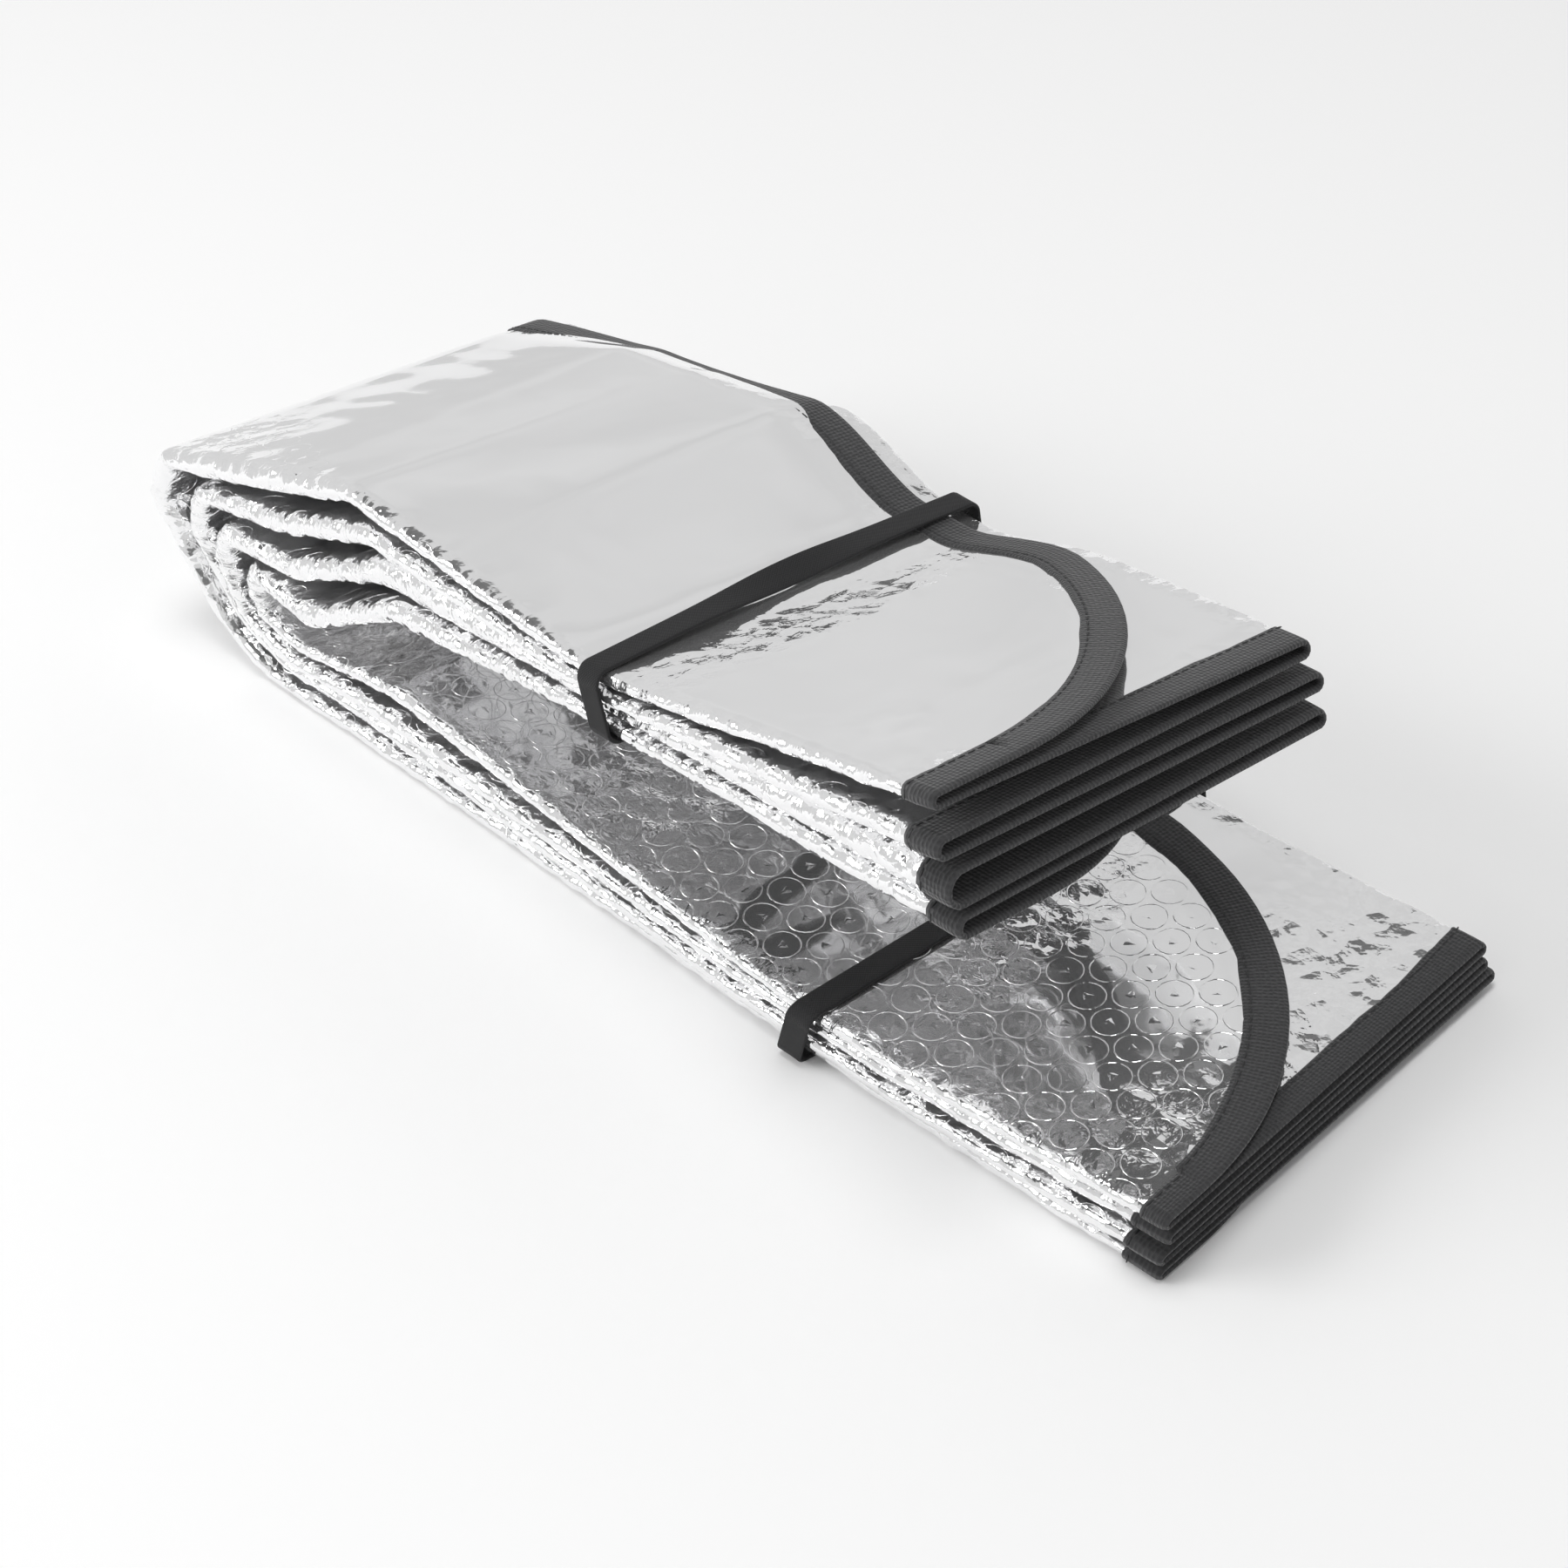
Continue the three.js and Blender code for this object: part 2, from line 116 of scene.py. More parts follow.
def guideAt(name, s):
    guide = np.array(strip[name], dtype=float)
    total = 0
    offsets = (-1, -0.5, 0, 0.5, 1)  # blends the guide round its corners
    for offset in offsets:
        at = s + offset * strip["creaseBlend"]
        k = 1 + np.searchsorted(guide[1:-1, 0], at)
        t = (at - guide[k - 1, 0]) / (guide[k, 0] - guide[k - 1, 0])
        total = total + mix(guide[k - 1, 1:], guide[k, 1:], t[..., None]) / len(offsets)
    return total


def inBend(s):
    start, end = strip["bend"]
    early, late = strip["pressFrom"]
    return easeStep(start - early, start - late, s) * (1 - easeStep(end, end + strip["pressAfter"], s))


def layerDepths(s, isFront, room):
    upperHalf = easeStep(*strip["bend"], s)
    shares = [np.zeros_like(s)]
    near, far = (widths * strip["bandWidth"] for widths in strip["bandPress"])
    pressed = 1 - easeStep(near, far, np.abs(s - strip["upperBand"][0]))
    lowerRoom, upperRoom = strip["frontRoom"]
    back = strip["backRoom"]
    for space in range(panelCount - 1):
        isFold = (space % 2 == 0) == isFront
        if isFront:
            loose = mix(mix(lowerRoom[space], upperRoom[space], upperHalf), strip["bandRoom"], pressed)
        elif isFold:
            loose = back["fold"] + 0 * s
        else:
            drift = mix(*back["drift"], upperHalf) * (space / (panelCount - 2) - 0.5)
            loose = 1 + drift + back["uneven"] * np.sin(back["turn"] * space + s / back["every"])
        shares.append(mix(loose, strip["bendRoom"][0 if isFold else 1], inBend(s)))
    before = np.cumsum(shares, axis=0)
    layers = np.arange(panelCount)[:, None]
    return strip["layerHalf"] + layers * strip["pitch"] + room * before / before[-1]


def stackSide(s, isFront):
    outer = guideAt("outerFront" if isFront else "outerBack", s)
    inner = guideAt("innerFront" if isFront else "innerBack", s)
    inward = unit(inner - outer)
    room = np.maximum(np.linalg.norm(inner - outer, axis=-1) - flatStack, 0)
    depths = layerDepths(s, isFront, room)
    return outer[None] + inward[None] * depths[..., None]


def widthAt(s):
    away = np.abs(s - strip["upperBand"][1])
    wide = strip["bandWidth"]
    squeezed = 1 - easeStep(wide, strip["squeezeReach"] * wide, away)
    return strip["panelWidth"] - strip["bandSqueeze"] * squeezed


class Strip:
    # The folded strip at a set of distances, every panel and fold at each of them
    def __init__(self, s):
        self.s = np.atleast_1d(np.asarray(s, dtype=float))
        self.front = stackSide(self.s, True)
        self.back = stackSide(self.s, False)
        self.frontY = guideAt("frontLine", self.s)[..., 0]
        self.width = widthAt(self.s)
        self.tangents = []
        raggedness, turn, every = strip["foldRagged"]
        for layer in range(panelCount - 1):
            isFront = layer % 2 == 0
            side = self.front if isFront else self.back
            radius = np.linalg.norm(side[layer] - side[layer + 1], axis=-1) / 2
            ragged = raggedness * np.sin(turn * layer + self.s / every)
            edge = self.frontY + ragged + (0 if isFront else self.width)
            self.tangents.append(edge + (radius if isFront else -radius))

    def panelPoint(self, layer, y):
        s = self.s
        across = (y - self.frontY) / self.width
        flat = mix(self.front[layer], self.back[layer], across[..., None])
        share = np.where(s < strip["bend"][0], layer / (panelCount - 1), -1)
        wave = strip["wave"]
        long, short = wave["lengths"]
        shape = np.sin(s / long) + 0.5 * np.sin(s / short + 3 * across)
        calm = np.minimum(np.minimum(s, strip["length"] - s), wave["calmEnd"]) / wave["calmEnd"]
        rise = wave["height"] * share * shape * calm * np.sin(math.pi * across) * (1 - inBend(s))
        bendStart, bendEnd = strip["bend"]
        loopAt = strip["upperBand"][1]
        start, full, fade, end = strip["droopZone"]
        zone = easeStep(bendStart + start, bendEnd + full, s) * (1 - easeStep(loopAt - fade, loopAt - end, s))
        droop = strip["droop"][1] * strip["panelWidth"] * zone * np.maximum(across - strip["droop"][0], 0)
        away = np.abs(s - mix(*strip["lowerBand"], across))
        liftEnd = strip["bandWidth"] + strip["bandLiftRamp"]
        lift = strip["bandLift"] * (1 - easeStep(strip["bandWidth"], liftEnd, away))
        z = np.maximum(flat[..., 1] + rise - droop, strip["layerHalf"]) + lift
        return np.stack([flat[..., 0], y, z], axis=-1)

    def sideWidth(self, nominal):
        full = nominal - strip["panelWidth"] + self.width
        lower, upper = strip["corners"]
        fromEnd = np.minimum(np.minimum(self.s / lower, (strip["length"] - self.s) / upper), 1)
        flat = np.where(self.s < strip["bend"][0], *strip["cornerFlats"])
        return flat + (full - flat) * np.sqrt(np.maximum(1 - (1 - fromEnd) ** 2, 0))


# Noise for creases, the same at every run
def hashed(ix, iy, seed):
    n = np.sin(ix * 127.1 + iy * 311.7 + seed * 74.7) * 43758.5453
    return n - np.floor(n)


def softNoise(x, y, seed):
    ix, iy = np.floor(x), np.floor(y)
    tx, ty = easeStep(0, 1, x - ix), easeStep(0, 1, y - iy)
    low = mix(hashed(ix, iy, seed), hashed(ix + 1, iy, seed), tx)
    high = mix(hashed(ix, iy + 1, seed), hashed(ix + 1, iy + 1, seed), tx)
    return 2 * mix(low, high, ty) - 1


def creaseNoise(x, y, seed):
    ix, iy = np.floor(x), np.floor(y)
    nearest = np.full(x.shape, 9.0)
    for di in (-1, 0, 1):
        for dj in (-1, 0, 1):
            cx = ix + di + hashed(ix + di, iy + dj, seed)
            cy = iy + dj + hashed(ix + di, iy + dj, seed + 9)
            nearest = np.minimum(nearest, np.hypot(x - cx, y - cy))
    return 0.45 - nearest


def ridgeNoise(x, y, seed):
    return 0.5 - 2 * np.abs(softNoise(x, y, seed))


sheet = {
    "thickness": 1.3,
    "crushed": 0.5,  # under the tape
    "tapeWidth": 11,
    "columnsSide": 40,  # on the first and the last panel
    "columnsSeen": 30,  # on the panels that show beside them
    "stopsHidden": (0, 0.015, 0.04, 0.08, 0.2, 0.55, 1),  # of the other panels, from the front
    "columnsFold": 6,
    "rowSpacing": 3.0,
    "cornerRows": 26,
    "rimCalm": 14,  # no creases at the rim itself, all of them from here
    "tapeRamp": 9,  # from the crushed film under the tape to its full thickness
    # creases: how far they wander and over what length, heights, and grains across and along in mm
    "warp": (5, 18),
    "panelCrease": 0.16,
    "innerCrease": 0.12,
    "bubblePanelCrease": 0.06,
    "filmWrinkle": 0.06,
    "foldPucker": 0.32,
    "puckerReach": 9.0,
    "bendCrumple": 0.65,
    "grains": {"broad": (34, 26), "small": (15, 12), "pucker": (26, 5.5), "bend": (12, 9)},
    "filmGrain": (9, 34),
    "filmSlant": 70,
    "zoneSlant": 0.6,
    "zoneStretch": 2.2,
    # where along the strip the bend's creases start, and end on the outermost panel and on the others
    "bendCreases": ((325, 350), (392, 408), (430, 480)),
    "bendCrushed": ((335, 352), (392, 406), (420, 440)),
    # fine crumples of the film: reach from the folds on the top face past topFrom and elsewhere, and shares
    "topFrom": 430,
    "foldReach": (1.8, 5.0),
    "bendShare": 0.9,
    "spotShare": 0.7,
    "hem": {"share": 0.6, "reach": 5.0, "grain": 16},
    "crumpled": [
        # layer, place along and across, reach each way, depth, grain in mm
        (7, 200, 22, 20, 24, 2.6, 12),
        (7, 92, 70, 9, 60, 0.5, 8),
        (6, 20, 104, 16, 40, 3.4, 13),
        (6, 46, 96, 11, 18, 3.2, 12),
        (6, 16, 35, 12, 40, 2.4, 12),
        (7, 22, 22, 12, 18, 0.8, 8),
        (0, 630, 55, 9, 55, 0.45, 9),
        (0, 424, 8, 14, 16, 0.5, 9),
    ],
    "longCreases": [
        # layer, start and end of the line (along, across), depth, half width
        (0, (704, 16), (709, 74), -0.6, 2.2),
        (0, (690, 10), (709, 30), -0.5, 2.2),
    ],
}


def rowStops():
    lower, upper = strip["corners"]
    count = sheet["cornerRows"]
    ease = 1 - np.cos(math.pi / 2 * np.arange(count) / count)
    middle = np.arange(lower, strip["length"] - upper, sheet["rowSpacing"])
    return np.concatenate([lower * ease, middle, (strip["length"] - upper * ease)[::-1]])


def buildGrid(s):
    folded = Strip(s)
    columns, layers, foldGap = [], [], []  # foldGap: distance to the nearest front fold

    def addPanel(layer, start, end, stops):
        for stop in stops:
            y = mix(start, end, stop)
            columns.append(folded.panelPoint(layer, y))
            layers.append(layer)
            foldGap.append(y - folded.frontY)

    first = folded.tangents[0]
    sideStops = np.linspace(0, 1, sheet["columnsSide"] + 1)
    seenStops = np.linspace(0, 1, sheet["columnsSeen"] + 1)
    addPanel(0, first + folded.sideWidth(strip["firstPanelWidth"]), first, sideStops)
    for layer in range(panelCount - 1):
        isFront = layer % 2 == 0
        tangent = folded.tangents[layer]
        start = folded.panelPoint(layer, tangent)
        end = folded.panelPoint(layer + 1, tangent)
        half, middle = (start - end) / 2, (start + end) / 2
        reach = np.linalg.norm(half, axis=-1)
        for k in range(1, sheet["columnsFold"]):
            angle = math.pi * k / sheet["columnsFold"]
            point = middle + half * math.cos(angle)
            point[:, 1] += (-1 if isFront else 1) * reach * math.sin(angle)
            columns.append(point)
            layers.append(layer + 0.5)
            foldGap.append(0 * reach if isFront else folded.width)
        if layer + 1 < panelCount - 1:
            stops = seenStops if layer + 1 in (1, panelCount - 2) else np.array(sheet["stopsHidden"])
            fromFront = stops if isFront else 1 - stops[::-1]
            addPanel(layer + 1, tangent, folded.tangents[layer + 1], fromFront)
    last = folded.tangents[-1]
    addPanel(panelCount - 1, last, last + folded.sideWidth(strip["lastPanelWidth"]), sideStops)
    return np.stack(columns, axis=1), np.array(layers), np.stack(foldGap, axis=1)


def gridNormals(grid):
    along = np.gradient(grid, axis=0)
    aside = np.gradient(grid, axis=1)
    return unit(np.cross(along, aside))


def flatMeasure(grid, layers):
    steps = np.linalg.norm(np.diff(grid, axis=1), axis=-1)
    u = np.concatenate([np.zeros((len(grid), 1)), np.cumsum(steps, axis=1)], axis=1)
    middle = np.searchsorted(layers, 0.5)
    return u - u[:, middle:middle + 1]


rows = rowStops()
grid, layers, foldGap = buildGrid(rows)
flatU = flatMeasure(grid, layers)
flatV = np.repeat(rows[:, None], grid.shape[1], axis=1)
sideGap = np.minimum(flatU - flatU[:, :1], flatU[:, -1:] - flatU)
rimGap = np.minimum(sideGap, np.minimum(flatV, strip["length"] - flatV))
print("strip: grid of", grid.shape[0], "by", grid.shape[1])


def onPanel(layer):
    # layers holds whole numbers on the panels and halves on the folds
    return (np.abs(layers - layer) < 0.4)[None]


outermost, innermost = onPanel(0), onPanel(panelCount - 1)


def bendZone(name):
    start, outsideEnd, insideEnd = sheet[name]
    ends = [np.where(outermost, *pair) for pair in zip(outsideEnd, insideEnd)]
    return easeStep(*start, flatV) * (1 - easeStep(*ends, flatV))


def zoneShare(zone):
    layer, atV, atY, reachV, reachY = zone[:5]
    share = np.exp(-((flatV - atV) / reachV) ** 2 - ((foldGap - atY) / reachY) ** 2)
    return share * onPanel(layer)


def lineGap(start, end):
    # distance of every grid point to a straight line on its panel
    line = np.subtract(end, start)
    fromStart = np.stack([flatV - start[0], foldGap - start[1]], axis=-1)
    t = np.clip(fromStart @ line / (line @ line), 0, 1)
    return np.linalg.norm(fromStart - t[..., None] * line, axis=-1)


def creaseHeight():
    u, v = flatU, flatV
    far, over = sheet["warp"]
    warpU = u + far * softNoise(u / over, v / over, 1)
    warpV = v + far * softNoise(u / over, v / over, 2)

    def grained(noise, name, seed, across=warpU):
        grainU, grainV = sheet["grains"][name]
        return noise(across / grainU, warpV / grainV, seed)

    broad = grained(creaseNoise, "broad", 3) + 0.5 * grained(creaseNoise, "small", 4)
    filmU, filmV = sheet["filmGrain"]
    film = ridgeNoise(warpU / filmU + warpV / sheet["filmSlant"], warpV / filmV, 5)
    panel = np.where(outermost, sheet["panelCrease"], sheet["innerCrease"])
    panel = np.where(innermost, sheet["bubblePanelCrease"], panel)
    height = panel * broad + sheet["filmWrinkle"] * film
    nearFold = np.exp(-(foldGap / sheet["puckerReach"]) ** 2)
    height += sheet["foldPucker"] * nearFold * grained(ridgeNoise, "pucker", 6, u)
    height += sheet["bendCrumple"] * bendZone("bendCreases") * grained(creaseNoise, "bend", 7)
    slant = sheet["zoneSlant"]
    for zone in sheet["crumpled"]:
        depth, grain = zone[5:]
        crushed = creaseNoise((u + slant * v) / grain, (v - slant * u) / (sheet["zoneStretch"] * grain), 8)
        height += depth * zoneShare(zone) * crushed
    for layer, start, end, depth, half in sheet["longCreases"]:
        height += depth * np.exp(-(lineGap(start, end) / half) ** 2) * onPanel(layer)
    return height * easeStep(0, sheet["rimCalm"], rimGap)


def thicknessOf():
    tape = sheet["tapeWidth"]
    return mix(sheet["crushed"], sheet["thickness"], easeStep(tape, tape + sheet["tapeRamp"], rimGap))


def crumpleShare():
    # how finely crumpled the film is, 0 where it is smooth and 1 on the folds
    behind = np.abs(foldGap - Strip(rows).width[:, None])
    reach = np.where(outermost & (flatV > sheet["topFrom"]), *sheet["foldReach"])
    fold = np.exp(-(np.minimum(foldGap, behind) / reach) ** 2)
    hem = sheet["hem"]
    besideTape = np.exp(-((rimGap - sheet["tapeWidth"]) / hem["reach"]) ** 2)
    patches = np.maximum(softNoise(flatU / hem["grain"], flatV / hem["grain"], 21), 0)
    spots = [sheet["spotShare"] * zoneShare(zone) for zone in sheet["crumpled"]]
    bend = sheet["bendShare"] * bendZone("bendCrushed")
    return np.clip(np.maximum.reduce([fold, bend, hem["share"] * besideTape * patches, *spots]), 0, 1)


crumple = crumpleShare()
normals = gridNormals(grid)
creased = grid + normals * creaseHeight()[..., None]
normals = gridNormals(creased)
half = (thicknessOf() / 2)[..., None]
smoothFace = creased + normals * half
bubbleFace = creased - normals * half


def lengthAlong(line):
    return np.concatenate([[0], np.cumsum(np.linalg.norm(np.diff(line, axis=0), axis=-1))])


def ringFaces(rowCount, ringCount):
    row = np.arange(rowCount)[:, None] * ringCount
    nextRow = np.roll(row, -1)
    j = np.arange(ringCount)[None]
    nextJ = (j + 1) % ringCount
    return np.stack([row + j, nextRow + j, nextRow + nextJ, row + nextJ], axis=-1).reshape(-1, 4)


def gridFaces(*offsets):
    r = np.arange(grid.shape[0] - 1)[:, None]
    c = np.arange(grid.shape[1] - 1)[None]
    corner = r * grid.shape[1] + c
    return np.stack([corner + offset for offset in offsets], axis=-1).reshape(-1, 4)


def addObject(name, data):
    made = bpy.data.objects.new(name, data)
    bpy.context.scene.collection.objects.link(made)
    return made


def plainMesh(name, points, faces=()):
    mesh = bpy.data.meshes.new(name)
    mesh.from_pydata(points, [], faces)
    return mesh


def meshFrom(name, points, quads, uv):
    mesh = bpy.data.meshes.new(name)
    mesh.vertices.add(len(points))
    mesh.vertices.foreach_set("co", ((points + shift) * mm).astype(np.float32).ravel())
    mesh.loops.add(quads.size)
    mesh.loops.foreach_set("vertex_index", quads.astype(np.int32).ravel())
    mesh.polygons.add(len(quads))
    mesh.polygons.foreach_set("loop_start", np.arange(0, quads.size, 4, dtype=np.int32))
    mesh.update(calc_edges=True)
    layer = mesh.uv_layers.new(name="flat")
    layer.data.foreach_set("uv", (uv[quads.ravel()] * mm).astype(np.float32).ravel())
    mesh.validate()
    mesh.polygons.foreach_set("use_smooth", np.ones(len(mesh.polygons), dtype=bool))
    return addObject(name, mesh)


def restOnTable(piece):
    # nothing of the piece goes below the table
    places = np.empty(len(piece.data.vertices) * 3, np.float32)
    piece.data.vertices.foreach_get("co", places)
    places[2::3] = np.maximum(places[2::3], 0)
    piece.data.vertices.foreach_set("co", places)
    piece.data.update()


def addAttribute(piece, name, values, kind="FLOAT"):
    data = piece.data.attributes.new(name, kind, "POINT").data
    field = "vector" if kind == "FLOAT_VECTOR" else "value"
    data.foreach_set(field, np.asarray(values, dtype=np.float32).ravel())


def outlinePlaces():
    # row and column of every grid point on the sheet's outline, once round
    lastRow, lastColumn = grid.shape[0] - 1, grid.shape[1] - 1
    places = [(0, c) for c in range(lastColumn)]
    places += [(r, lastColumn) for r in range(lastRow)]
    places += [(lastRow, c) for c in range(lastColumn, 0, -1)]
    places += [(r, 0) for r in range(lastRow, 0, -1)]
    return np.array(places)


rimPlaces = outlinePlaces()
flatUv = np.stack([flatU.ravel(), flatV.ravel()], axis=-1)


def makeSheet():
    rowCount, columnCount = grid.shape[:2]
    count = rowCount * columnCount
    face = gridFaces(0, columnCount, columnCount + 1, 1)
    rim = rimPlaces[:, 0] * columnCount + rimPlaces[:, 1]
    nextRim = np.roll(rim, -1)
    rimFace = np.stack([rim, nextRim, nextRim + count, rim + count], axis=-1)
    quads = np.concatenate([face, face[:, ::-1] + count, rimFace])
    points = np.concatenate([smoothFace.reshape(-1, 3), bubbleFace.reshape(-1, 3)])
    piece = meshFrom("foilSheet", points, quads, np.concatenate([flatUv, flatUv]))
    addAttribute(piece, "crumple", np.concatenate([crumple.ravel(), crumple.ravel()]))
    return piece


foilSheet = makeSheet()
print("foil sheet:", len(foilSheet.data.polygons), "faces")


def newTree(name, *inputs):
    tree = bpy.data.node_groups.new(name, "GeometryNodeTree")
    for label, kind in inputs:
        tree.interface.new_socket(label, in_out="INPUT", socket_type="NodeSocket" + kind)
    tree.interface.new_socket("Geometry", in_out="OUTPUT", socket_type="NodeSocketGeometry")
    return tree, tree.nodes.new, tree.links.new


def readAttribute(node, name, kind="FLOAT_VECTOR"):
    read = node("GeometryNodeInputNamedAttribute")
    read.data_type = kind
    read.inputs["Name"].default_value = name
    return read


def wire(link, *wires):
    # each wire: a node and its output, a node and its input
    for source, output, target, entry in wires:
        link(source.outputs[output], target.inputs[entry])


def operationNode(node, kind, operation):
    made = node(kind)
    made.operation = operation
    return made


def finishTree(node, link, start, made):
    # smooth shading and the material, as the last steps of a tree
    smooth, paint, end = (node(kind) for kind in (
        "GeometryNodeSetShadeSmooth", "GeometryNodeSetMaterial", "NodeGroupOutput"))
    link(made, smooth.inputs[0])
    wire(
        link, (smooth, 0, paint, "Geometry"), (start, "Material", paint, "Material"),
        (paint, "Geometry", end, "Geometry"))


# A tree that sets one small part at each point, turned to the point's own directions
def scatterTree():
    tree, node, link = newTree(
        "setOnSurface", ("Geometry", "Geometry"), ("Part", "Object"), ("Size", "Vector"),
        ("Material", "Material"))
    start, part = node("NodeGroupInput"), node("GeometryNodeObjectInfo")
    out, along = readAttribute(node, "outward"), readAttribute(node, "along")
    size = readAttribute(node, "share", "FLOAT")
    turnX, turnZ = node("FunctionNodeAlignRotationToVector"), node("FunctionNodeAlignRotationToVector")
    turnX.axis, turnZ.axis, turnZ.pivot_axis = "X", "Z", "X"
    scale = operationNode(node, "ShaderNodeVectorMath", "SCALE")
    place, real = node("GeometryNodeInstanceOnPoints"), node("GeometryNodeRealizeInstances")
    wire(link,
        (start, "Part", part, "Object"), (along, "Attribute", turnX, "Vector"),
        (turnX, "Rotation", turnZ, "Rotation"), (out, "Attribute", turnZ, "Vector"),
        (start, "Size", scale, 0), (size, "Attribute", scale, "Scale"),
        (start, "Geometry", place, "Points"), (part, "Geometry", place, "Instance"),
        (turnZ, "Rotation", place, "Rotation"), (scale, "Vector", place, "Scale"),
        (place, "Instances", real, "Geometry"))
    finishTree(node, link, start, real.outputs["Geometry"])
    return tree


setOnSurface = scatterTree()


# Runs a tree on the holder's points and keeps the result as a plain mesh
def runTree(name, holder, tree, values):
    modifier = holder.modifiers.new(name, "NODES")
    modifier.node_group = tree
    for socket in tree.interface.items_tree:
        if socket.in_out == "INPUT" and socket.name in values:
            modifier[socket.identifier] = values[socket.name]
    made = bpy.data.meshes.new_from_object(holder.evaluated_get(bpy.context.evaluated_depsgraph_get()))
    piece = addObject(name, made)
    bpy.data.objects.remove(holder)
    if not made.materials:
        made.materials.append(values["Material"])
    return piece


def scatter(name, points, outs, alongs, shares, part, size, material):
    holder = addObject(name + "Points", plainMesh(name, [tuple(p) for p in (points + shift) * mm]))
    addAttribute(holder, "outward", outs, "FLOAT_VECTOR")
    addAttribute(holder, "along", alongs, "FLOAT_VECTOR")
    addAttribute(holder, "share", shares)
    values = {"Part": part, "Size": [x * mm for x in size], "Material": material}
    piece = runTree(name, holder, setOnSurface, values)
    bpy.data.objects.remove(part)
    return piece


# Materials
def newMaterial(name):
    material = bpy.data.materials.new(name)
    material.use_nodes = True
    nodes, links = material.node_tree.nodes, material.node_tree.links
    return material, nodes, links, nodes["Principled BSDF"]


def setInputs(node, **values):
    for name, value in values.items():
        node.inputs[name.replace("_", " ")].default_value = value
    return node


def addMath(nodes, links, operation, *values):
    # a node whose sockets are linked or set, as each value is
    made = operationNode(nodes.new, "ShaderNodeMath", operation)
    for socket, value in zip(made.inputs, values):
        if isinstance(value, float):
            socket.default_value = value
        else:
            links.new(value, socket)
    return made.outputs["Value"]


def addBump(nodes, links, height, strength, distance, under=None):
    bump = setInputs(nodes.new("ShaderNodeBump"), Strength=strength, Distance=distance)
    links.new(height, bump.inputs["Height"])
    if under:
        links.new(under, bump.inputs["Normal"])
    return bump


foilLook = {
    "colour": (0.95, 0.95, 0.955, 1),
    "metal": 0.9,
    "roughness": 0.045,
    # scale, depth in metres and strength of each kind of crease
    "smooth": (70.0, 0.00025, 0.10),
    "facets": (130.0, 0.0033, 0.6),
    "crushed": (330.0, 0.0006, 0.55),
    "fine": (900.0, 0.0002, 0.4),
    "onRings": 0.15,  # share of the strength on the bubble rings
    "warp": (60.0, 0.006),  # scale and reach in metres
}


def foilMaterial(name, onSheet):
    material, nodes, links, shader = newMaterial(name)
    look = foilLook
    setInputs(shader, Base_Color=look["colour"], Metallic=look["metal"], Roughness=look["roughness"])
    if onSheet:
        where = nodes.new("ShaderNodeUVMap")
        where.uv_map = "flat"
        place = where.outputs["UV"]
    else:
        place = nodes.new("ShaderNodeTexCoord").outputs["Object"]
    warp = setInputs(nodes.new("ShaderNodeTexNoise"), Scale=look["warp"][0], Detail=3.0)
    push = setInputs(operationNode(nodes.new, "ShaderNodeVectorMath", "SCALE"), Scale=look["warp"][1])
    warped = nodes.new("ShaderNodeVectorMath")
    links.new(place, warp.inputs["Vector"])
    links.new(warp.outputs["Color"], push.inputs[0])
    links.new(place, warped.inputs[0])
    links.new(push.outputs["Vector"], warped.inputs[1])
    share = nodes.new("ShaderNodeAttribute")
    share.attribute_name = "crumple"
    normal = None
    for kind in ("smooth", "facets", "crushed", "fine"):
        scale, depth, strength = look[kind]
        if kind != "smooth" and not onSheet:
            strength *= look["onRings"]
        crease = setInputs(nodes.new("ShaderNodeTexVoronoi"), Scale=scale)
        links.new(warped.outputs["Vector"], crease.inputs["Vector"])
        bump = addBump(nodes, links, crease.outputs["Distance"], strength, depth, normal)
        if kind != "smooth" and onSheet:
            amount = addMath(nodes, links, "MULTIPLY", share.outputs["Fac"], strength)
            links.new(amount, bump.inputs["Strength"])
        normal = bump.outputs["Normal"]
    links.new(normal, shader.inputs["Normal"])
    return material


foil = foilMaterial("bubbleFoil", True)
foilRings = foilMaterial("bubbleFoilRings", False)
foilSheet.data.materials.append(foil)
restOnTable(foilSheet)

bubbles = {
    "pitch": 11.5,
    "radius": 5.2,
    "height": 0.2,
    "turn": 12,  # degrees, the rows against the fold
    "start": 370,  # where along the strip the pattern is centred
    "patternHalf": 1400,  # enough to cover the flat sheet at any turn
    "sides": 18,
    "profile": ((1.02, -0.15), (0.975, 1.0), (0.93, -0.15)),  # shares of the radius and the height
    "dentRadii": (0.4, 0.22, 0.45, 0.18, 0.34, 0.25),
    "dentTip": (0.06, -0.04, 0.8),
    "rimClear": 1.5,  # beyond the tape
    "foldReach": 8,  # on the panels inside the stack, from their front fold
    "topFrom": 400,  # along the strip, where the top face starts
    "foldClearFrom": 430,  # none on the top face's fold past here
    "topNear": 7,  # on the top face they show from here to topFar, which falls over topFade
    "topFar": (30, 6),
    "topFade": (430, 500),
    "topRise": 0.3,  # share of the height on the top face
    "uneven": (0.5, 1.3),  # least and most share of the height
}


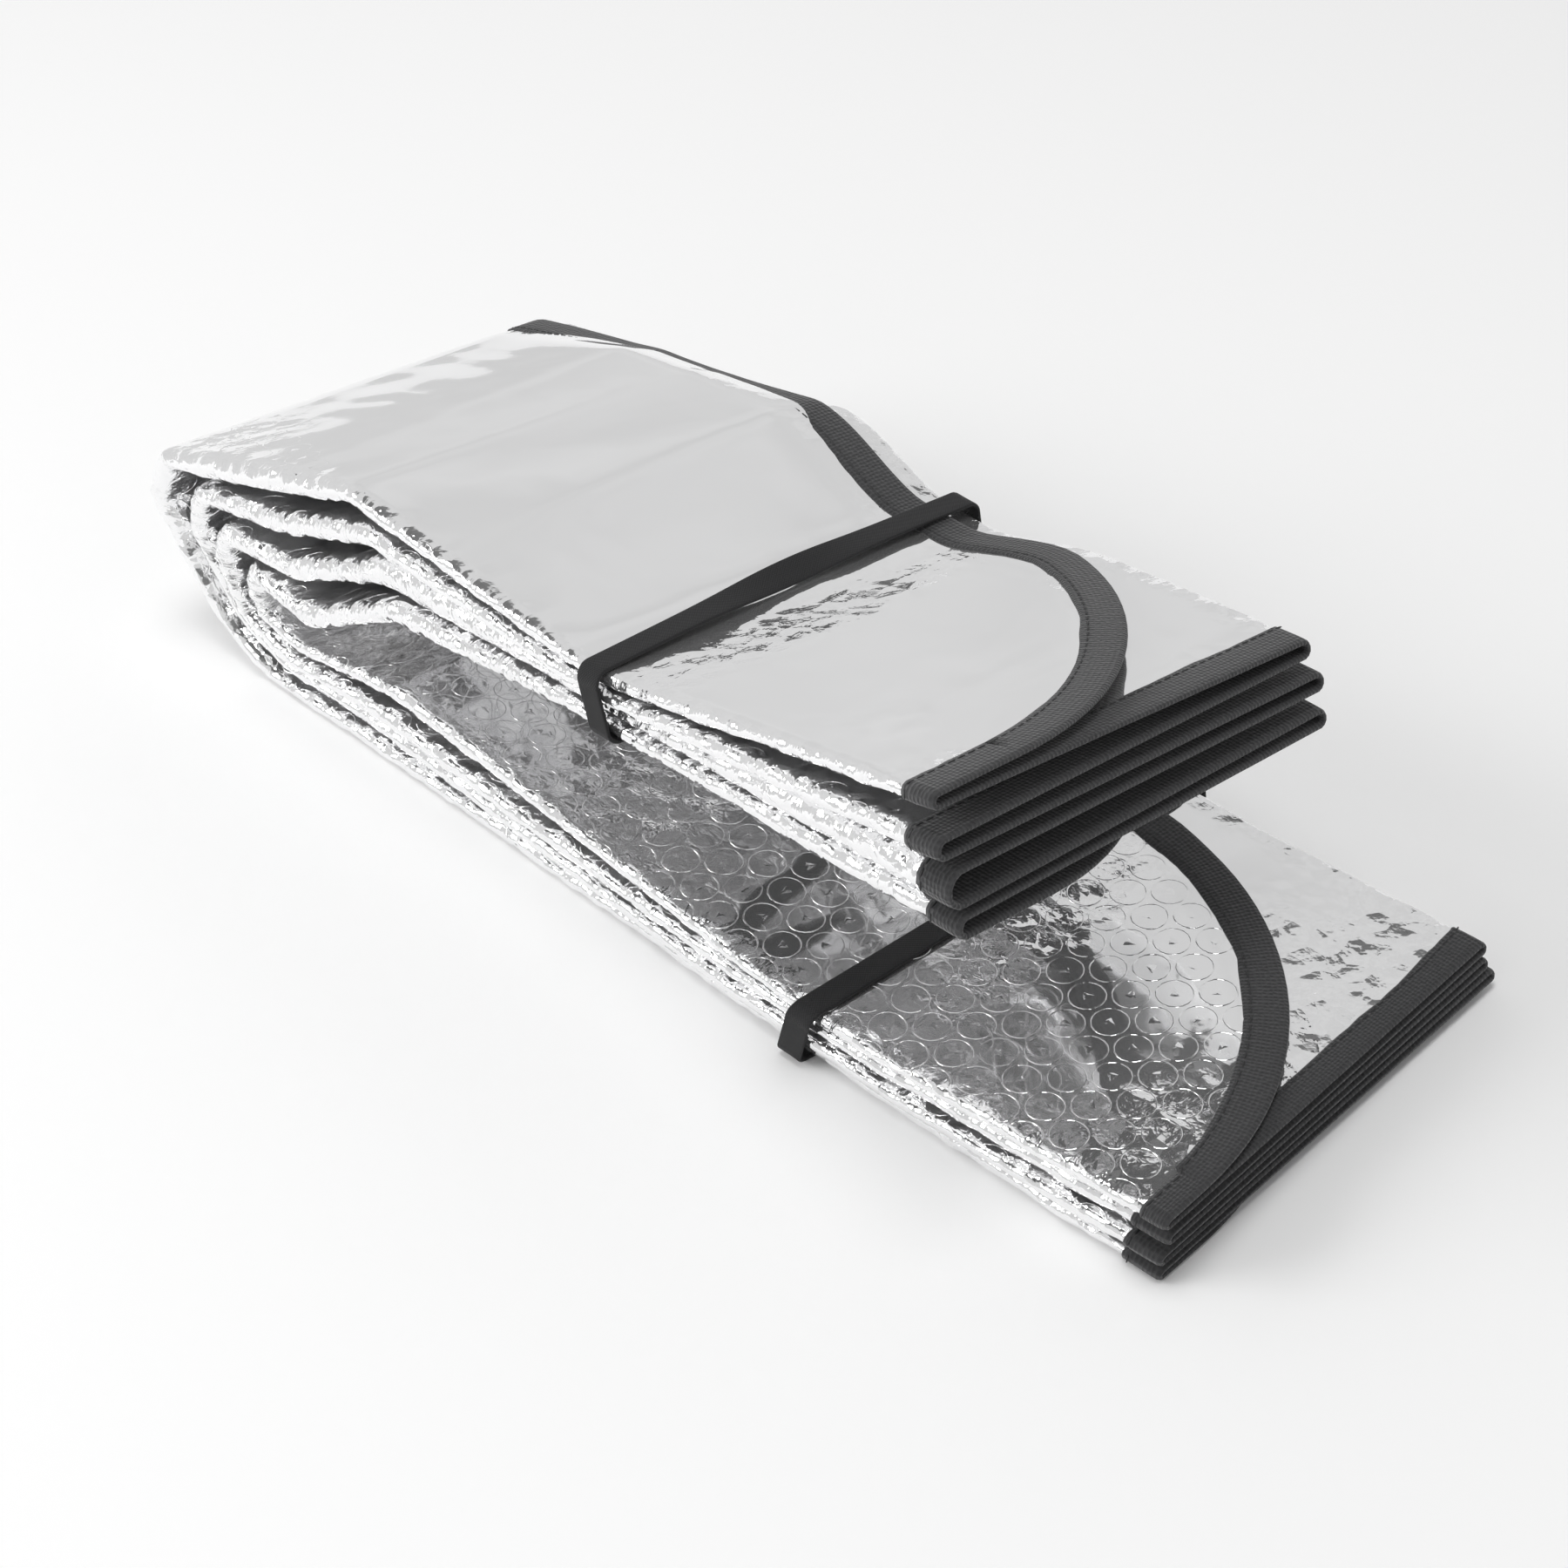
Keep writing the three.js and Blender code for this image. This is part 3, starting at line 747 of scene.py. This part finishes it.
# A tree that lays small parts out flat, then wraps them on a face of the sheet by its flat measure
def wrapTree():
    tree, node, link = newTree(
        "wrapOnSheet", ("Geometry", "Geometry"), ("Part", "Object"), ("Sheet", "Object"),
        ("Seed", "Int"), ("Material", "Material"))
    start = node("NodeGroupInput")
    part, sheetInfo = node("GeometryNodeObjectInfo"), node("GeometryNodeObjectInfo")
    size, flatMap = readAttribute(node, "size"), readAttribute(node, "flat")
    spin, turn = node("FunctionNodeRandomValue"), node("ShaderNodeCombineXYZ")
    spin.inputs[3].default_value = 2 * math.pi
    euler = node("FunctionNodeEulerToRotation")
    place, real = node("GeometryNodeInstanceOnPoints"), node("GeometryNodeRealizeInstances")
    flatPlace, split = node("GeometryNodeInputPosition"), node("ShaderNodeSeparateXYZ")
    spot, normal = node("GeometryNodeInputPosition"), node("GeometryNodeInputNormal")
    onSheet, outOfSheet = node("GeometryNodeSampleUVSurface"), node("GeometryNodeSampleUVSurface")
    onSheet.data_type = outOfSheet.data_type = "FLOAT_VECTOR"
    raised, landed = operationNode(node, "ShaderNodeVectorMath", "SCALE"), node("ShaderNodeVectorMath")
    move = node("GeometryNodeSetPosition")
    wire(link,
        (start, "Part", part, "Object"), (start, "Sheet", sheetInfo, "Object"),
        (start, "Seed", spin, "Seed"), (spin, 1, turn, "Z"), (turn, "Vector", euler, "Euler"),
        (start, "Geometry", place, "Points"), (part, "Geometry", place, "Instance"),
        (euler, "Rotation", place, "Rotation"), (size, "Attribute", place, "Scale"),
        (place, "Instances", real, "Geometry"), (flatPlace, "Position", split, "Vector"))
    for sampler, value in ((onSheet, spot.outputs["Position"]), (outOfSheet, normal.outputs["Normal"])):
        link(sheetInfo.outputs["Geometry"], sampler.inputs["Mesh"])
        link(value, sampler.inputs["Value"])
        link(flatMap.outputs["Attribute"], sampler.inputs["Source UV Map"])
        link(flatPlace.outputs["Position"], sampler.inputs["Sample UV"])
    wire(link,
        (outOfSheet, "Value", raised, 0), (split, "Z", raised, "Scale"), (onSheet, "Value", landed, 0),
        (raised, "Vector", landed, 1), (real, "Geometry", move, "Geometry"),
        (landed, "Vector", move, "Position"))
    finishTree(node, link, start, move.outputs["Geometry"])
    return tree


def tubeFaces(rings, sides):
    faces = []
    for ring in range(rings - 1):
        for k in range(sides):
            a, b = ring * sides + k, ring * sides + (k + 1) % sides
            faces.append((a, b, b + sides, a + sides))
    return faces


def bubbleShape():
    # a thin raised ring on the film, with a small dent in the middle
    sides, dentSides = bubbles["sides"], len(bubbles["dentRadii"])
    points = []
    for radius, height in bubbles["profile"]:
        for k in range(sides):
            angle = 2 * math.pi * k / sides
            points.append((radius * math.cos(angle), radius * math.sin(angle), height))
    faces = tubeFaces(len(bubbles["profile"]), sides)
    base = len(points)
    for k, radius in enumerate(bubbles["dentRadii"]):
        angle = 2 * math.pi * k / dentSides
        points.append((radius * math.cos(angle), radius * math.sin(angle), -0.1))
    points.append(bubbles["dentTip"])
    faces += [(base + k, base + (k + 1) % dentSides, base + dentSides) for k in range(dentSides)]
    return addObject("bubbleRing", plainMesh("bubbleRing", points, faces))


def bubblePlaces():
    # places in the flat measure, and how far each ring stands up
    pitch, turn = bubbles["pitch"], math.radians(bubbles["turn"])
    span = int(bubbles["patternHalf"] / pitch)
    i, j = np.meshgrid(np.arange(-span, span), np.arange(-span, span))
    x, y = pitch * (i + 0.5 * (j % 2)), pitch * math.sqrt(0.75) * j
    u = (x * math.cos(turn) - y * math.sin(turn)).ravel()
    v = (x * math.sin(turn) + y * math.cos(turn) + bubbles["start"]).ravel()
    onStrip = (flatU.min() < u) & (u < flatU.max()) & (v > 0) & (v < strip["length"])
    found, rises = [], []
    for atU, atV in zip(u[onStrip], v[onStrip]):
        r = int(np.clip(np.searchsorted(rows, atV) - 1, 0, len(rows) - 2))
        c = int(np.clip(np.searchsorted(flatU[r], atU) - 1, 0, grid.shape[1] - 2))
        gap = foldGap[r, c]
        isTop = outermost[0, c] and atV > bubbles["topFrom"]
        isShown = outermost[0, c] or innermost[0, c] or gap < bubbles["foldReach"]
        if not isShown or rimGap[r, c] < sheet["tapeWidth"] + bubbles["rimClear"]:
            continue
        if layers[c] == 0.5 and atV > bubbles["foldClearFrom"]:
            continue
        farGap = mix(*bubbles["topFar"], easeStep(*bubbles["topFade"], atV))
        if isTop and (gap < bubbles["topNear"] or gap > farGap):
            continue
        found.append((atU, atV))
        rises.append(bubbles["topRise"] if isTop else 1.0)
    found = np.array(found)
    uneven = mix(*bubbles["uneven"], hashed(found[:, 0].round(), found[:, 1].round(), 31))
    return found, np.array(rises) * uneven


def makeBubbles():
    columnCount = grid.shape[1]
    quads = gridFaces(0, 1, columnCount + 1, columnCount)
    side = meshFrom("bubbleSide", bubbleFace.reshape(-1, 3), quads, flatUv)
    found, rises = bubblePlaces()
    holder = addObject("bubblePlaces", plainMesh("bubblePlaces", [(u * mm, v * mm, 0) for u, v in found]))
    wide = np.full(len(rises), bubbles["radius"] * mm)
    sizes = np.stack([wide, wide, rises * bubbles["height"] * mm], axis=-1)
    addAttribute(holder, "size", sizes, "FLOAT_VECTOR")
    ring = bubbleShape()
    values = {"Part": ring, "Sheet": side, "Seed": 4, "Material": foilRings}
    piece = runTree("filmBubbles", holder, wrapTree(), values)
    for helper in (side, ring):
        bpy.data.objects.remove(helper)
    return piece


filmBubbles = makeBubbles()
restOnTable(filmBubbles)
print("bubbles:", len(filmBubbles.data.polygons), "faces")

tape = {
    "width": 11,
    "half": 0.86,
    "bulge": 0.75,
    "ragged": 0.45,
    "raggedGrains": (14, 4),
    "swell": (0.08, 9, 0.6),  # share, grain along and turn across of its uneven thickness
    "endShare": 0.7,  # of the width, on the last panels at the lower end
    "blend": 9,  # outline points over which it narrows
    "deep": 9,  # mm from each end to where its way across the end is taken
    "ruling": (8, 0.6),  # the same at the sides: columns, and the share of the corner where it starts
    "stitchInset": 1.9,
    "stitchPitch": 3.4,
    "stitchHalf": (1.25, 0.24, 0.2),
    "stitchLift": 0.08,
    "stitchSides": 6,
}


def inwardAt():
    # from every outline point, the way in over the sheet
    lastColumn = grid.shape[1] - 1
    deepLow, deepHigh = np.searchsorted(rows, (tape["deep"], strip["length"] - tape["deep"]))
    sideSteps, rulingFrom = tape["ruling"]
    inward = np.zeros((len(rimPlaces), 3))
    before, after = np.roll(rimPlaces, 1, axis=0), np.roll(rimPlaces, -1, axis=0)
    for k, (r, c) in enumerate(rimPlaces):
        if 0 < c < lastColumn:
            column = min(max(c, sheet["columnsSide"]), lastColumn - sheet["columnsSide"])
            inward[k] = unit(grid[deepLow if r == 0 else deepHigh, column] - grid[r, column])
            continue
        tangent = grid[tuple(after[k])] - grid[tuple(before[k])]
        square = unit(np.cross(tangent, baseNormals[r, c]))
        ruling = unit(grid[r, sideSteps if c == 0 else lastColumn - sideSteps] - grid[r, c])
        fromEnd = min(rows[r] / strip["corners"][0], (strip["length"] - rows[r]) / strip["corners"][1])
        inward[k] = unit(mix(square, ruling, easeStep(rulingFrom, 1, fromEnd)))
    return inward


baseNormals = gridNormals(grid)


def makeTape():
    base = grid[rimPlaces[:, 0], rimPlaces[:, 1]]
    out = baseNormals[rimPlaces[:, 0], rimPlaces[:, 1]]
    inward = inwardAt()
    arc = lengthAlong(base)
    wide, h, bulge = tape["width"], tape["half"], tape["bulge"]
    # reach over the sheet and height, from one hem round the sheet's edge to the other
    section = np.array([
        [wide, h - 0.35], [wide - 0.5, h], [wide * 0.6, h + 0.06], [wide * 0.25, h + 0.05], [0.3, h - 0.05],
        [-bulge * 0.7, h * 0.55], [-bulge, 0], [-bulge * 0.7, -h * 0.55], [0.3, -h + 0.05],
        [wide * 0.25, -h - 0.05], [wide * 0.6, -h - 0.06], [wide - 0.5, -h], [wide, -h + 0.35],
    ])
    lastTwo = layers[rimPlaces[:, 1]] > panelCount - 2.4
    foldedEnd = (rimPlaces[:, 0] == 0) & lastTwo
    blend = tape["blend"]
    narrow = np.convolve(np.where(foldedEnd, tape["endShare"], 1), np.ones(blend) / blend, "same")
    narrow[:blend // 2] = narrow[-(blend // 2):] = 1  # the outline is closed, the blend isn't
    long, short = tape["raggedGrains"]
    wander = softNoise(arc / long, 0 * arc, 11) + 0.5 * softNoise(arc / short, 0 * arc, 13)
    share, grain, turn = tape["swell"]
    lines = []
    for index, (a, height) in enumerate(section):
        ragged = tape["ragged"] * wander * (a > wide - 1)
        swell = 1 + share * softNoise(arc / grain, 0 * arc + index * turn, 12)
        reach = a * narrow if a > 1 else a
        lines.append(base + inward * (reach + ragged)[:, None] + out * (height * swell)[:, None])
    points = np.stack(lines, axis=1)
    quads = ringFaces(len(rimPlaces), len(section))
    uv = np.stack(np.broadcast_arrays(arc[:, None], lengthAlong(section)[None]), axis=-1).reshape(-1, 2)
    piece = meshFrom("edgeBinding", points.reshape(-1, 3), quads, uv)
    return piece, base, out, inward * narrow[:, None]  # the stitches follow it


edgeBinding, tapeBase, tapeOut, tapeIn = makeTape()


def clothMaterial(name, roughness, sheen):
    material, nodes, links, shader = newMaterial(name)
    setInputs(shader, Roughness=roughness, Sheen_Weight=sheen, Sheen_Roughness=0.5)
    where = nodes.new("ShaderNodeUVMap")
    where.uv_map = "flat"
    return material, nodes, links, shader, where.outputs["UV"]


tapeLook = {
    "dark": (0.020, 0.020, 0.021, 1),
    "light": (0.047, 0.047, 0.049, 1),
    "roughness": 0.88,
    "sheen": 0.25,
    "grain": 900.0,
    "emboss": 760.0,
    # how strongly the fibres' own uneven tone and the painted shade in the embossed dots darken the tape
    "toneAndShadeContrast": 2.6,
    "dotBump": (0.9, 0.0005),  # strength, depth in metres
    "fibreBump": (0.6, 0.00012),
}


def tapeMaterial():
    look = tapeLook
    material, nodes, links, shader, place = clothMaterial("nonWovenTape", look["roughness"], look["sheen"])
    fibre = setInputs(nodes.new("ShaderNodeTexNoise"), Scale=look["grain"], Detail=5.0, Roughness=0.7)
    dots = setInputs(nodes.new("ShaderNodeTexVoronoi"), Scale=look["emboss"], Randomness=0.3)
    shades = nodes.new("ShaderNodeMix")
    shades.data_type = "RGBA"
    shades.inputs["A"].default_value, shades.inputs["B"].default_value = look["dark"], look["light"]
    links.new(place, fibre.inputs["Vector"])
    links.new(place, dots.inputs["Vector"])
    # colour darkest at each embossed dot's centre, painted shade of the emboss, times the fibres' own random
    # tone
    fibreToneAndDotShade = addMath(nodes, links, "MULTIPLY", fibre.outputs["Fac"], dots.outputs["Distance"])
    links.new(addMath(nodes, links, "MULTIPLY", fibreToneAndDotShade, look["toneAndShadeContrast"]), shades.inputs["Factor"])
    links.new(shades.outputs["Result"], shader.inputs["Base Color"])
    dotBump = addBump(nodes, links, dots.outputs["Distance"], *look["dotBump"])
    fibreBump = addBump(nodes, links, fibre.outputs["Fac"], *look["fibreBump"], dotBump.outputs["Normal"])
    links.new(fibreBump.outputs["Normal"], shader.inputs["Normal"])
    return material


edgeBinding.data.materials.append(tapeMaterial())
print("edge binding:", len(edgeBinding.data.polygons), "faces")


threadLook = {"colour": (0.03, 0.03, 0.031, 1), "roughness": 0.6, "twist": 900.0, "bump": (0.4, 0.0001)}


def threadMaterial():
    material, nodes, links, shader = newMaterial("sewingThread")
    setInputs(shader, Base_Color=threadLook["colour"], Roughness=threadLook["roughness"])
    where = nodes.new("ShaderNodeTexCoord")
    twist = setInputs(nodes.new("ShaderNodeTexWave"), Scale=threadLook["twist"])
    links.new(where.outputs["Object"], twist.inputs["Vector"])
    bump = addBump(nodes, links, twist.outputs["Fac"], *threadLook["bump"])
    links.new(bump.outputs["Normal"], shader.inputs["Normal"])
    return material


def stitchShape():
    sides = tape["stitchSides"]
    points = []
    profile = ((-1, 0.3), (-0.7, 1), (0.7, 1), (1, 0.3))
    for x, r in profile:
        for k in range(sides):
            angle = 2 * math.pi / sides * k
            points.append((x, r * math.cos(angle), r * math.sin(angle)))
    ends = [tuple(range(sides - 1, -1, -1)), tuple(range(len(points) - sides, len(points)))]
    return addObject("stitch", plainMesh("stitch", points, tubeFaces(len(profile), sides) + ends))


def makeStitches():
    where, outs, alongs = [], [], []
    inset = tape["width"] - tape["stitchInset"]
    for side in (1, -1):
        line = tapeBase + tapeIn * inset + tapeOut * side * (tape["half"] + tape["stitchLift"])
        length = lengthAlong(line)
        stops = np.arange(1, length[-1], tape["stitchPitch"])

        def along(values, at):
            return np.stack([np.interp(at, length, values[:, axis]) for axis in range(3)], axis=-1)

        point = along(line, stops)
        where.append(point)
        outs.append(unit(along(side * tapeOut, stops)))
        alongs.append(unit(along(line, stops + 1) - point))
    where, outs, alongs = (np.concatenate(x) for x in (where, outs, alongs))
    shares = np.ones(len(where))
    return scatter(
        "bindingStitches", where, outs, alongs, shares, stitchShape(), tape["stitchHalf"], threadMaterial())


bindingStitches = makeStitches()
restOnTable(edgeBinding)
restOnTable(bindingStitches)
print("stitches:", len(bindingStitches.data.polygons), "faces")

loop = {
    "width": 8,
    "thickness": 1.0,
    "corner": 4,
    "offset": 1.8,
    "clearance": 1.7,  # more at the folds
    "sideSteps": 64,
    "cornerSteps": 6,
    "twist": 0.5,  # at most, in radians
    "twistAt": (0.52, 0.15),  # share of the way across the top, and how far it reaches
}


def makeLoop(name, band, twistMost):
    frontS, backS = band
    width = float(widthAt(np.array([backS]))[0])
    reach = loop["offset"] + loop["clearance"]
    nearY, farY = -reach, width + reach
    corner = loop["corner"]

    def place(along, y, depth, lift):
        across = y / width
        folded = Strip(np.array([mix(frontS, backS, across) + along]))
        nearest = folded.frontY + min(max(across, 0), 1) * folded.width

        def layerPoint(layer):
            # the loop's height is the strip's own at the nearest place on it
            point = folded.panelPoint(layer, nearest)[0]
            point[1] = folded.frontY[0] + y
            return point

        outer, inner = layerPoint(0), layerPoint(panelCount - 1)
        inward = unit(inner - outer)
        outer = outer - inward * (loop["offset"] + lift)
        inner = inner + inward * loop["offset"]
        return mix(outer, inner, depth), float(np.linalg.norm(inner - outer))

    outline = []  # place across, depth in the stack, twist and lift

    def addCorner(y, isInner, towardsY, fromAngle):
        rounding = corner / place(0, y, 0, 0)[1]
        centre = 1 - rounding if isInner else rounding
        for k in range(loop["cornerSteps"] + 1):
            angle = fromAngle + math.pi / 2 * k / loop["cornerSteps"]
            atY = y + towardsY * corner + corner * math.cos(angle)
            outline.append((atY, centre + rounding * math.sin(angle), 0, 0))

    sideStops = np.arange(1, loop["sideSteps"]) / loop["sideSteps"]
    twistAt, twistReach = loop["twistAt"]
    arch = (loop["width"] + loop["thickness"]) / 2 * math.sin(twistMost)
    addCorner(nearY, False, 1, math.pi)
    for t in sideStops:
        twist = twistMost * math.exp(-(((t - twistAt) / twistReach) ** 2))
        outline.append((mix(nearY + corner, farY - corner, t), 0, twist, arch * math.sin(math.pi * t)))
    addCorner(farY, False, -1, -math.pi / 2)
    addCorner(farY, True, -1, 0)
    for t in sideStops:
        outline.append((mix(farY - corner, nearY + corner, t), 1, 0, 0))
    addCorner(nearY, True, 1, math.pi / 2)
    middle = np.array([place(0, y, depth, lift)[0] for y, depth, _, lift in outline])
    tangent = unit(np.roll(middle, -1, axis=0) - np.roll(middle, 1, axis=0))
    along = np.array([place(1, y, d, lift)[0] - place(-1, y, d, lift)[0] for y, d, _, lift in outline])
    out = unit(np.cross(tangent, along))
    wide = unit(np.cross(out, tangent))
    twists = np.array([o[2] for o in outline])[:, None]
    turnedWide = wide * np.cos(twists) + np.cross(tangent, wide) * np.sin(twists)
    turnedOut = out * np.cos(twists) + np.cross(tangent, out) * np.sin(twists)
    face = [[0.97, -0.85], [0.9, -1], [0.45, -0.94], [0, -0.92], [-0.45, -0.94], [-0.9, -1], [-0.97, -0.85]]
    under = np.array([[1, -0.3], *face, [-1, -0.3]])
    section = np.concatenate([under, -under])
    points = middle[:, None] + turnedWide[:, None] * (section[None, :, :1] * loop["width"] / 2)
    points = points + turnedOut[:, None] * (section[None, :, 1:] * loop["thickness"] / 2)
    acrossUv = section[:, 0] * loop["width"] / 2
    uv = np.stack(np.broadcast_arrays(lengthAlong(middle)[:, None], acrossUv[None]), axis=-1).reshape(-1, 2)
    return meshFrom(name, points.reshape(-1, 3), ringFaces(len(middle), len(section)), uv)


elasticLook = {
    "colour": (0.012, 0.012, 0.013, 1),
    "roughness": 0.8,
    "sheen": 0.04,
    "weave": (("X", 0.0009), ("Y", 0.0008)),  # pitch in metres along and across
    "bump": (0.6, 0.00012),
}


def elasticMaterial():
    look = elasticLook
    material, nodes, links, shader, place = clothMaterial("flatElastic", look["roughness"], look["sheen"])
    setInputs(shader, Base_Color=look["colour"])
    split = nodes.new("ShaderNodeSeparateXYZ")
    links.new(place, split.inputs["Vector"])
    weave = []
    for axis, pitch in look["weave"]:
        turn = addMath(nodes, links, "MULTIPLY", split.outputs[axis], 2 * math.pi / pitch)
        weave.append(addMath(nodes, links, "SINE", turn))
    bump = addBump(nodes, links, addMath(nodes, links, "MULTIPLY", *weave), *look["bump"])
    links.new(bump.outputs["Normal"], shader.inputs["Normal"])
    return material


elastic = elasticMaterial()
elasticUpper = makeLoop("elasticUpper", strip["upperBand"], loop["twist"])
elasticLower = makeLoop("elasticLower", strip["lowerBand"], 0)
for piece in (elasticUpper, elasticLower):
    piece.data.materials.append(elastic)
print("elastic loops:", len(elasticUpper.data.polygons) + len(elasticLower.data.polygons), "faces")

# What each piece stands for
mainPieces = [
    (foilSheet, "foil_sheet", "foil"), (edgeBinding, "edge_binding", "binding"),
    (elasticUpper, "elastic_loop_upper", "elastic"), (elasticLower, "elastic_loop_lower", "elastic"),
]
for piece, node, slotName in mainPieces:
    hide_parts(node)
    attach(piece, "root")
for piece, slotName in ((filmBubbles, "foil"), (bindingStitches, "binding")):
    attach(piece, "root")

# Floor, light and camera
studio = {
    "floorColour": (1, 1, 1, 1),
    "floorRoughness": 0.9,
    "floorDown": 0.0002,  # just under the part, so that the two faces never share a plane
    "lamps": [
        # place, aim, size, power
        ((-1.0, -1.3, 1.1), (0, 0, 0.05), 0.9, 13.5),
        ((0.2, -0.2, 2.4), (0, 0, 0.05), 1.0, 23),
    ],
    "floorHalf": 0.78,
    # share of the way up, brightness
    "sky": [(0.0, 1.0), (0.34, 1.0), (0.39, 0.67), (0.62, 0.66), (0.88, 0.64), (0.91, 0.12), (1.0, 0.08)],
    "skyCloud": {"scale": 5.0, "noise": (0.3, 0.7), "brightness": (0.92, 1.06)},
    "darkSide": {"towards": (0.555, -0.497, 0.667), "edge": (0.88, 0.97), "brightness": 0.2},
    "camera": {
        "place": (635.248, -357.297, 572.604),  # mm from the crease on the table
        "turn": (48.0432, 3.8231, 44.7106),  # degrees
        "lens": 67.4314,
    },
}


def makeStudio():
    size = studio["floorHalf"]
    corners = [(-size, -size, 0), (size, -size, 0), (size, size, 0), (-size, size, 0)]
    floor = addObject("floor", plainMesh("floor", corners, [(0, 1, 2, 3)]))
    floor.location.z = -studio["floorDown"]
    material, _, _, shader = newMaterial("paleFloor")
    setInputs(shader, Base_Color=studio["floorColour"], Roughness=studio["floorRoughness"])
    setInputs(shader, Specular_IOR_Level=0)
    floor.data.materials.append(material)
    for index, (place, aim, wide, power) in enumerate(studio["lamps"]):
        lamp = bpy.data.lights.new(f"softLamp{index}", "AREA")
        lamp.size, lamp.energy = wide, power
        holder = addObject(lamp.name, lamp)
        holder.location = place
        holder.rotation_euler = (Vector(aim) - Vector(place)).to_track_quat("-Z", "Y").to_euler()


def addRange(nodes, links, value, fromPair, toPair):
    # brings a value from one range to another
    node = nodes.new("ShaderNodeMapRange")
    setInputs(node, From_Min=fromPair[0], From_Max=fromPair[1], To_Min=toPair[0], To_Max=toPair[1])
    links.new(value, node.inputs["Value"])
    return node


def makeWorld():
    world = bpy.data.worlds.new("paleRoom")
    bpy.context.scene.world = world
    world.use_nodes = True
    nodes, links = world.node_tree.nodes, world.node_tree.links
    around = nodes.new("ShaderNodeTexCoord").outputs["Generated"]
    split = nodes.new("ShaderNodeSeparateXYZ")
    links.new(around, split.inputs["Vector"])
    height = addRange(nodes, links, split.outputs["Z"], (-1, 1), (0, 1))
    ramp = nodes.new("ShaderNodeValToRGB")
    while len(ramp.color_ramp.elements) < len(studio["sky"]):
        ramp.color_ramp.elements.new(0.5)
    for element, (at, value) in zip(ramp.color_ramp.elements, studio["sky"]):
        element.position = at
        element.color = (value, value, value, 1)
    links.new(height.outputs["Result"], ramp.inputs["Fac"])
    side = studio["darkSide"]
    facing = operationNode(nodes.new, "ShaderNodeVectorMath", "DOT_PRODUCT")
    facing.inputs[1].default_value = side["towards"]
    links.new(around, facing.inputs[0])
    patch = addRange(nodes, links, facing.outputs["Value"], side["edge"], (1, side["brightness"]))
    patch.interpolation_type = "SMOOTHSTEP"
    cloud = setInputs(nodes.new("ShaderNodeTexNoise"), Scale=studio["skyCloud"]["scale"], Detail=3.0)
    links.new(around, cloud.inputs["Vector"])
    cloudy = addRange(
        nodes, links, cloud.outputs["Fac"], studio["skyCloud"]["noise"], studio["skyCloud"]["brightness"])
    shade = operationNode(nodes.new, "ShaderNodeVectorMath", "SCALE")
    links.new(ramp.outputs["Color"], shade.inputs[0])
    both = addMath(nodes, links, "MULTIPLY", cloudy.outputs["Result"], patch.outputs["Result"])
    links.new(both, shade.inputs["Scale"])
    room = nodes["Background"]
    links.new(shade.outputs["Vector"], room.inputs["Color"])
    # what the camera sees past the floor
    white = setInputs(nodes.new("ShaderNodeBackground"), Color=(1, 1, 1, 1))
    ray = nodes.new("ShaderNodeLightPath")
    choose = nodes.new("ShaderNodeMixShader")
    wire(links.new,
        (ray, "Is Camera Ray", choose, "Fac"), (room, "Background", choose, 1),
        (white, "Background", choose, 2))
    links.new(choose.outputs["Shader"], nodes["World Output"].inputs["Surface"])


def makeCamera():
    settings = studio["camera"]
    data = bpy.data.cameras.new("viewer")
    data.lens, data.sensor_width = settings["lens"], 36
    data.sensor_fit = "HORIZONTAL"
    data.clip_start, data.clip_end = 0.01, 50
    camera = addObject("viewer", data)
    camera.location = [(a + b) * mm for a, b in zip(settings["place"], shift)]
    camera.rotation_euler = [math.radians(a) for a in settings["turn"]]
    bpy.context.scene.camera = camera


makeStudio()
makeWorld()
makeCamera()
bpy.context.scene.view_settings.view_transform = "Standard"
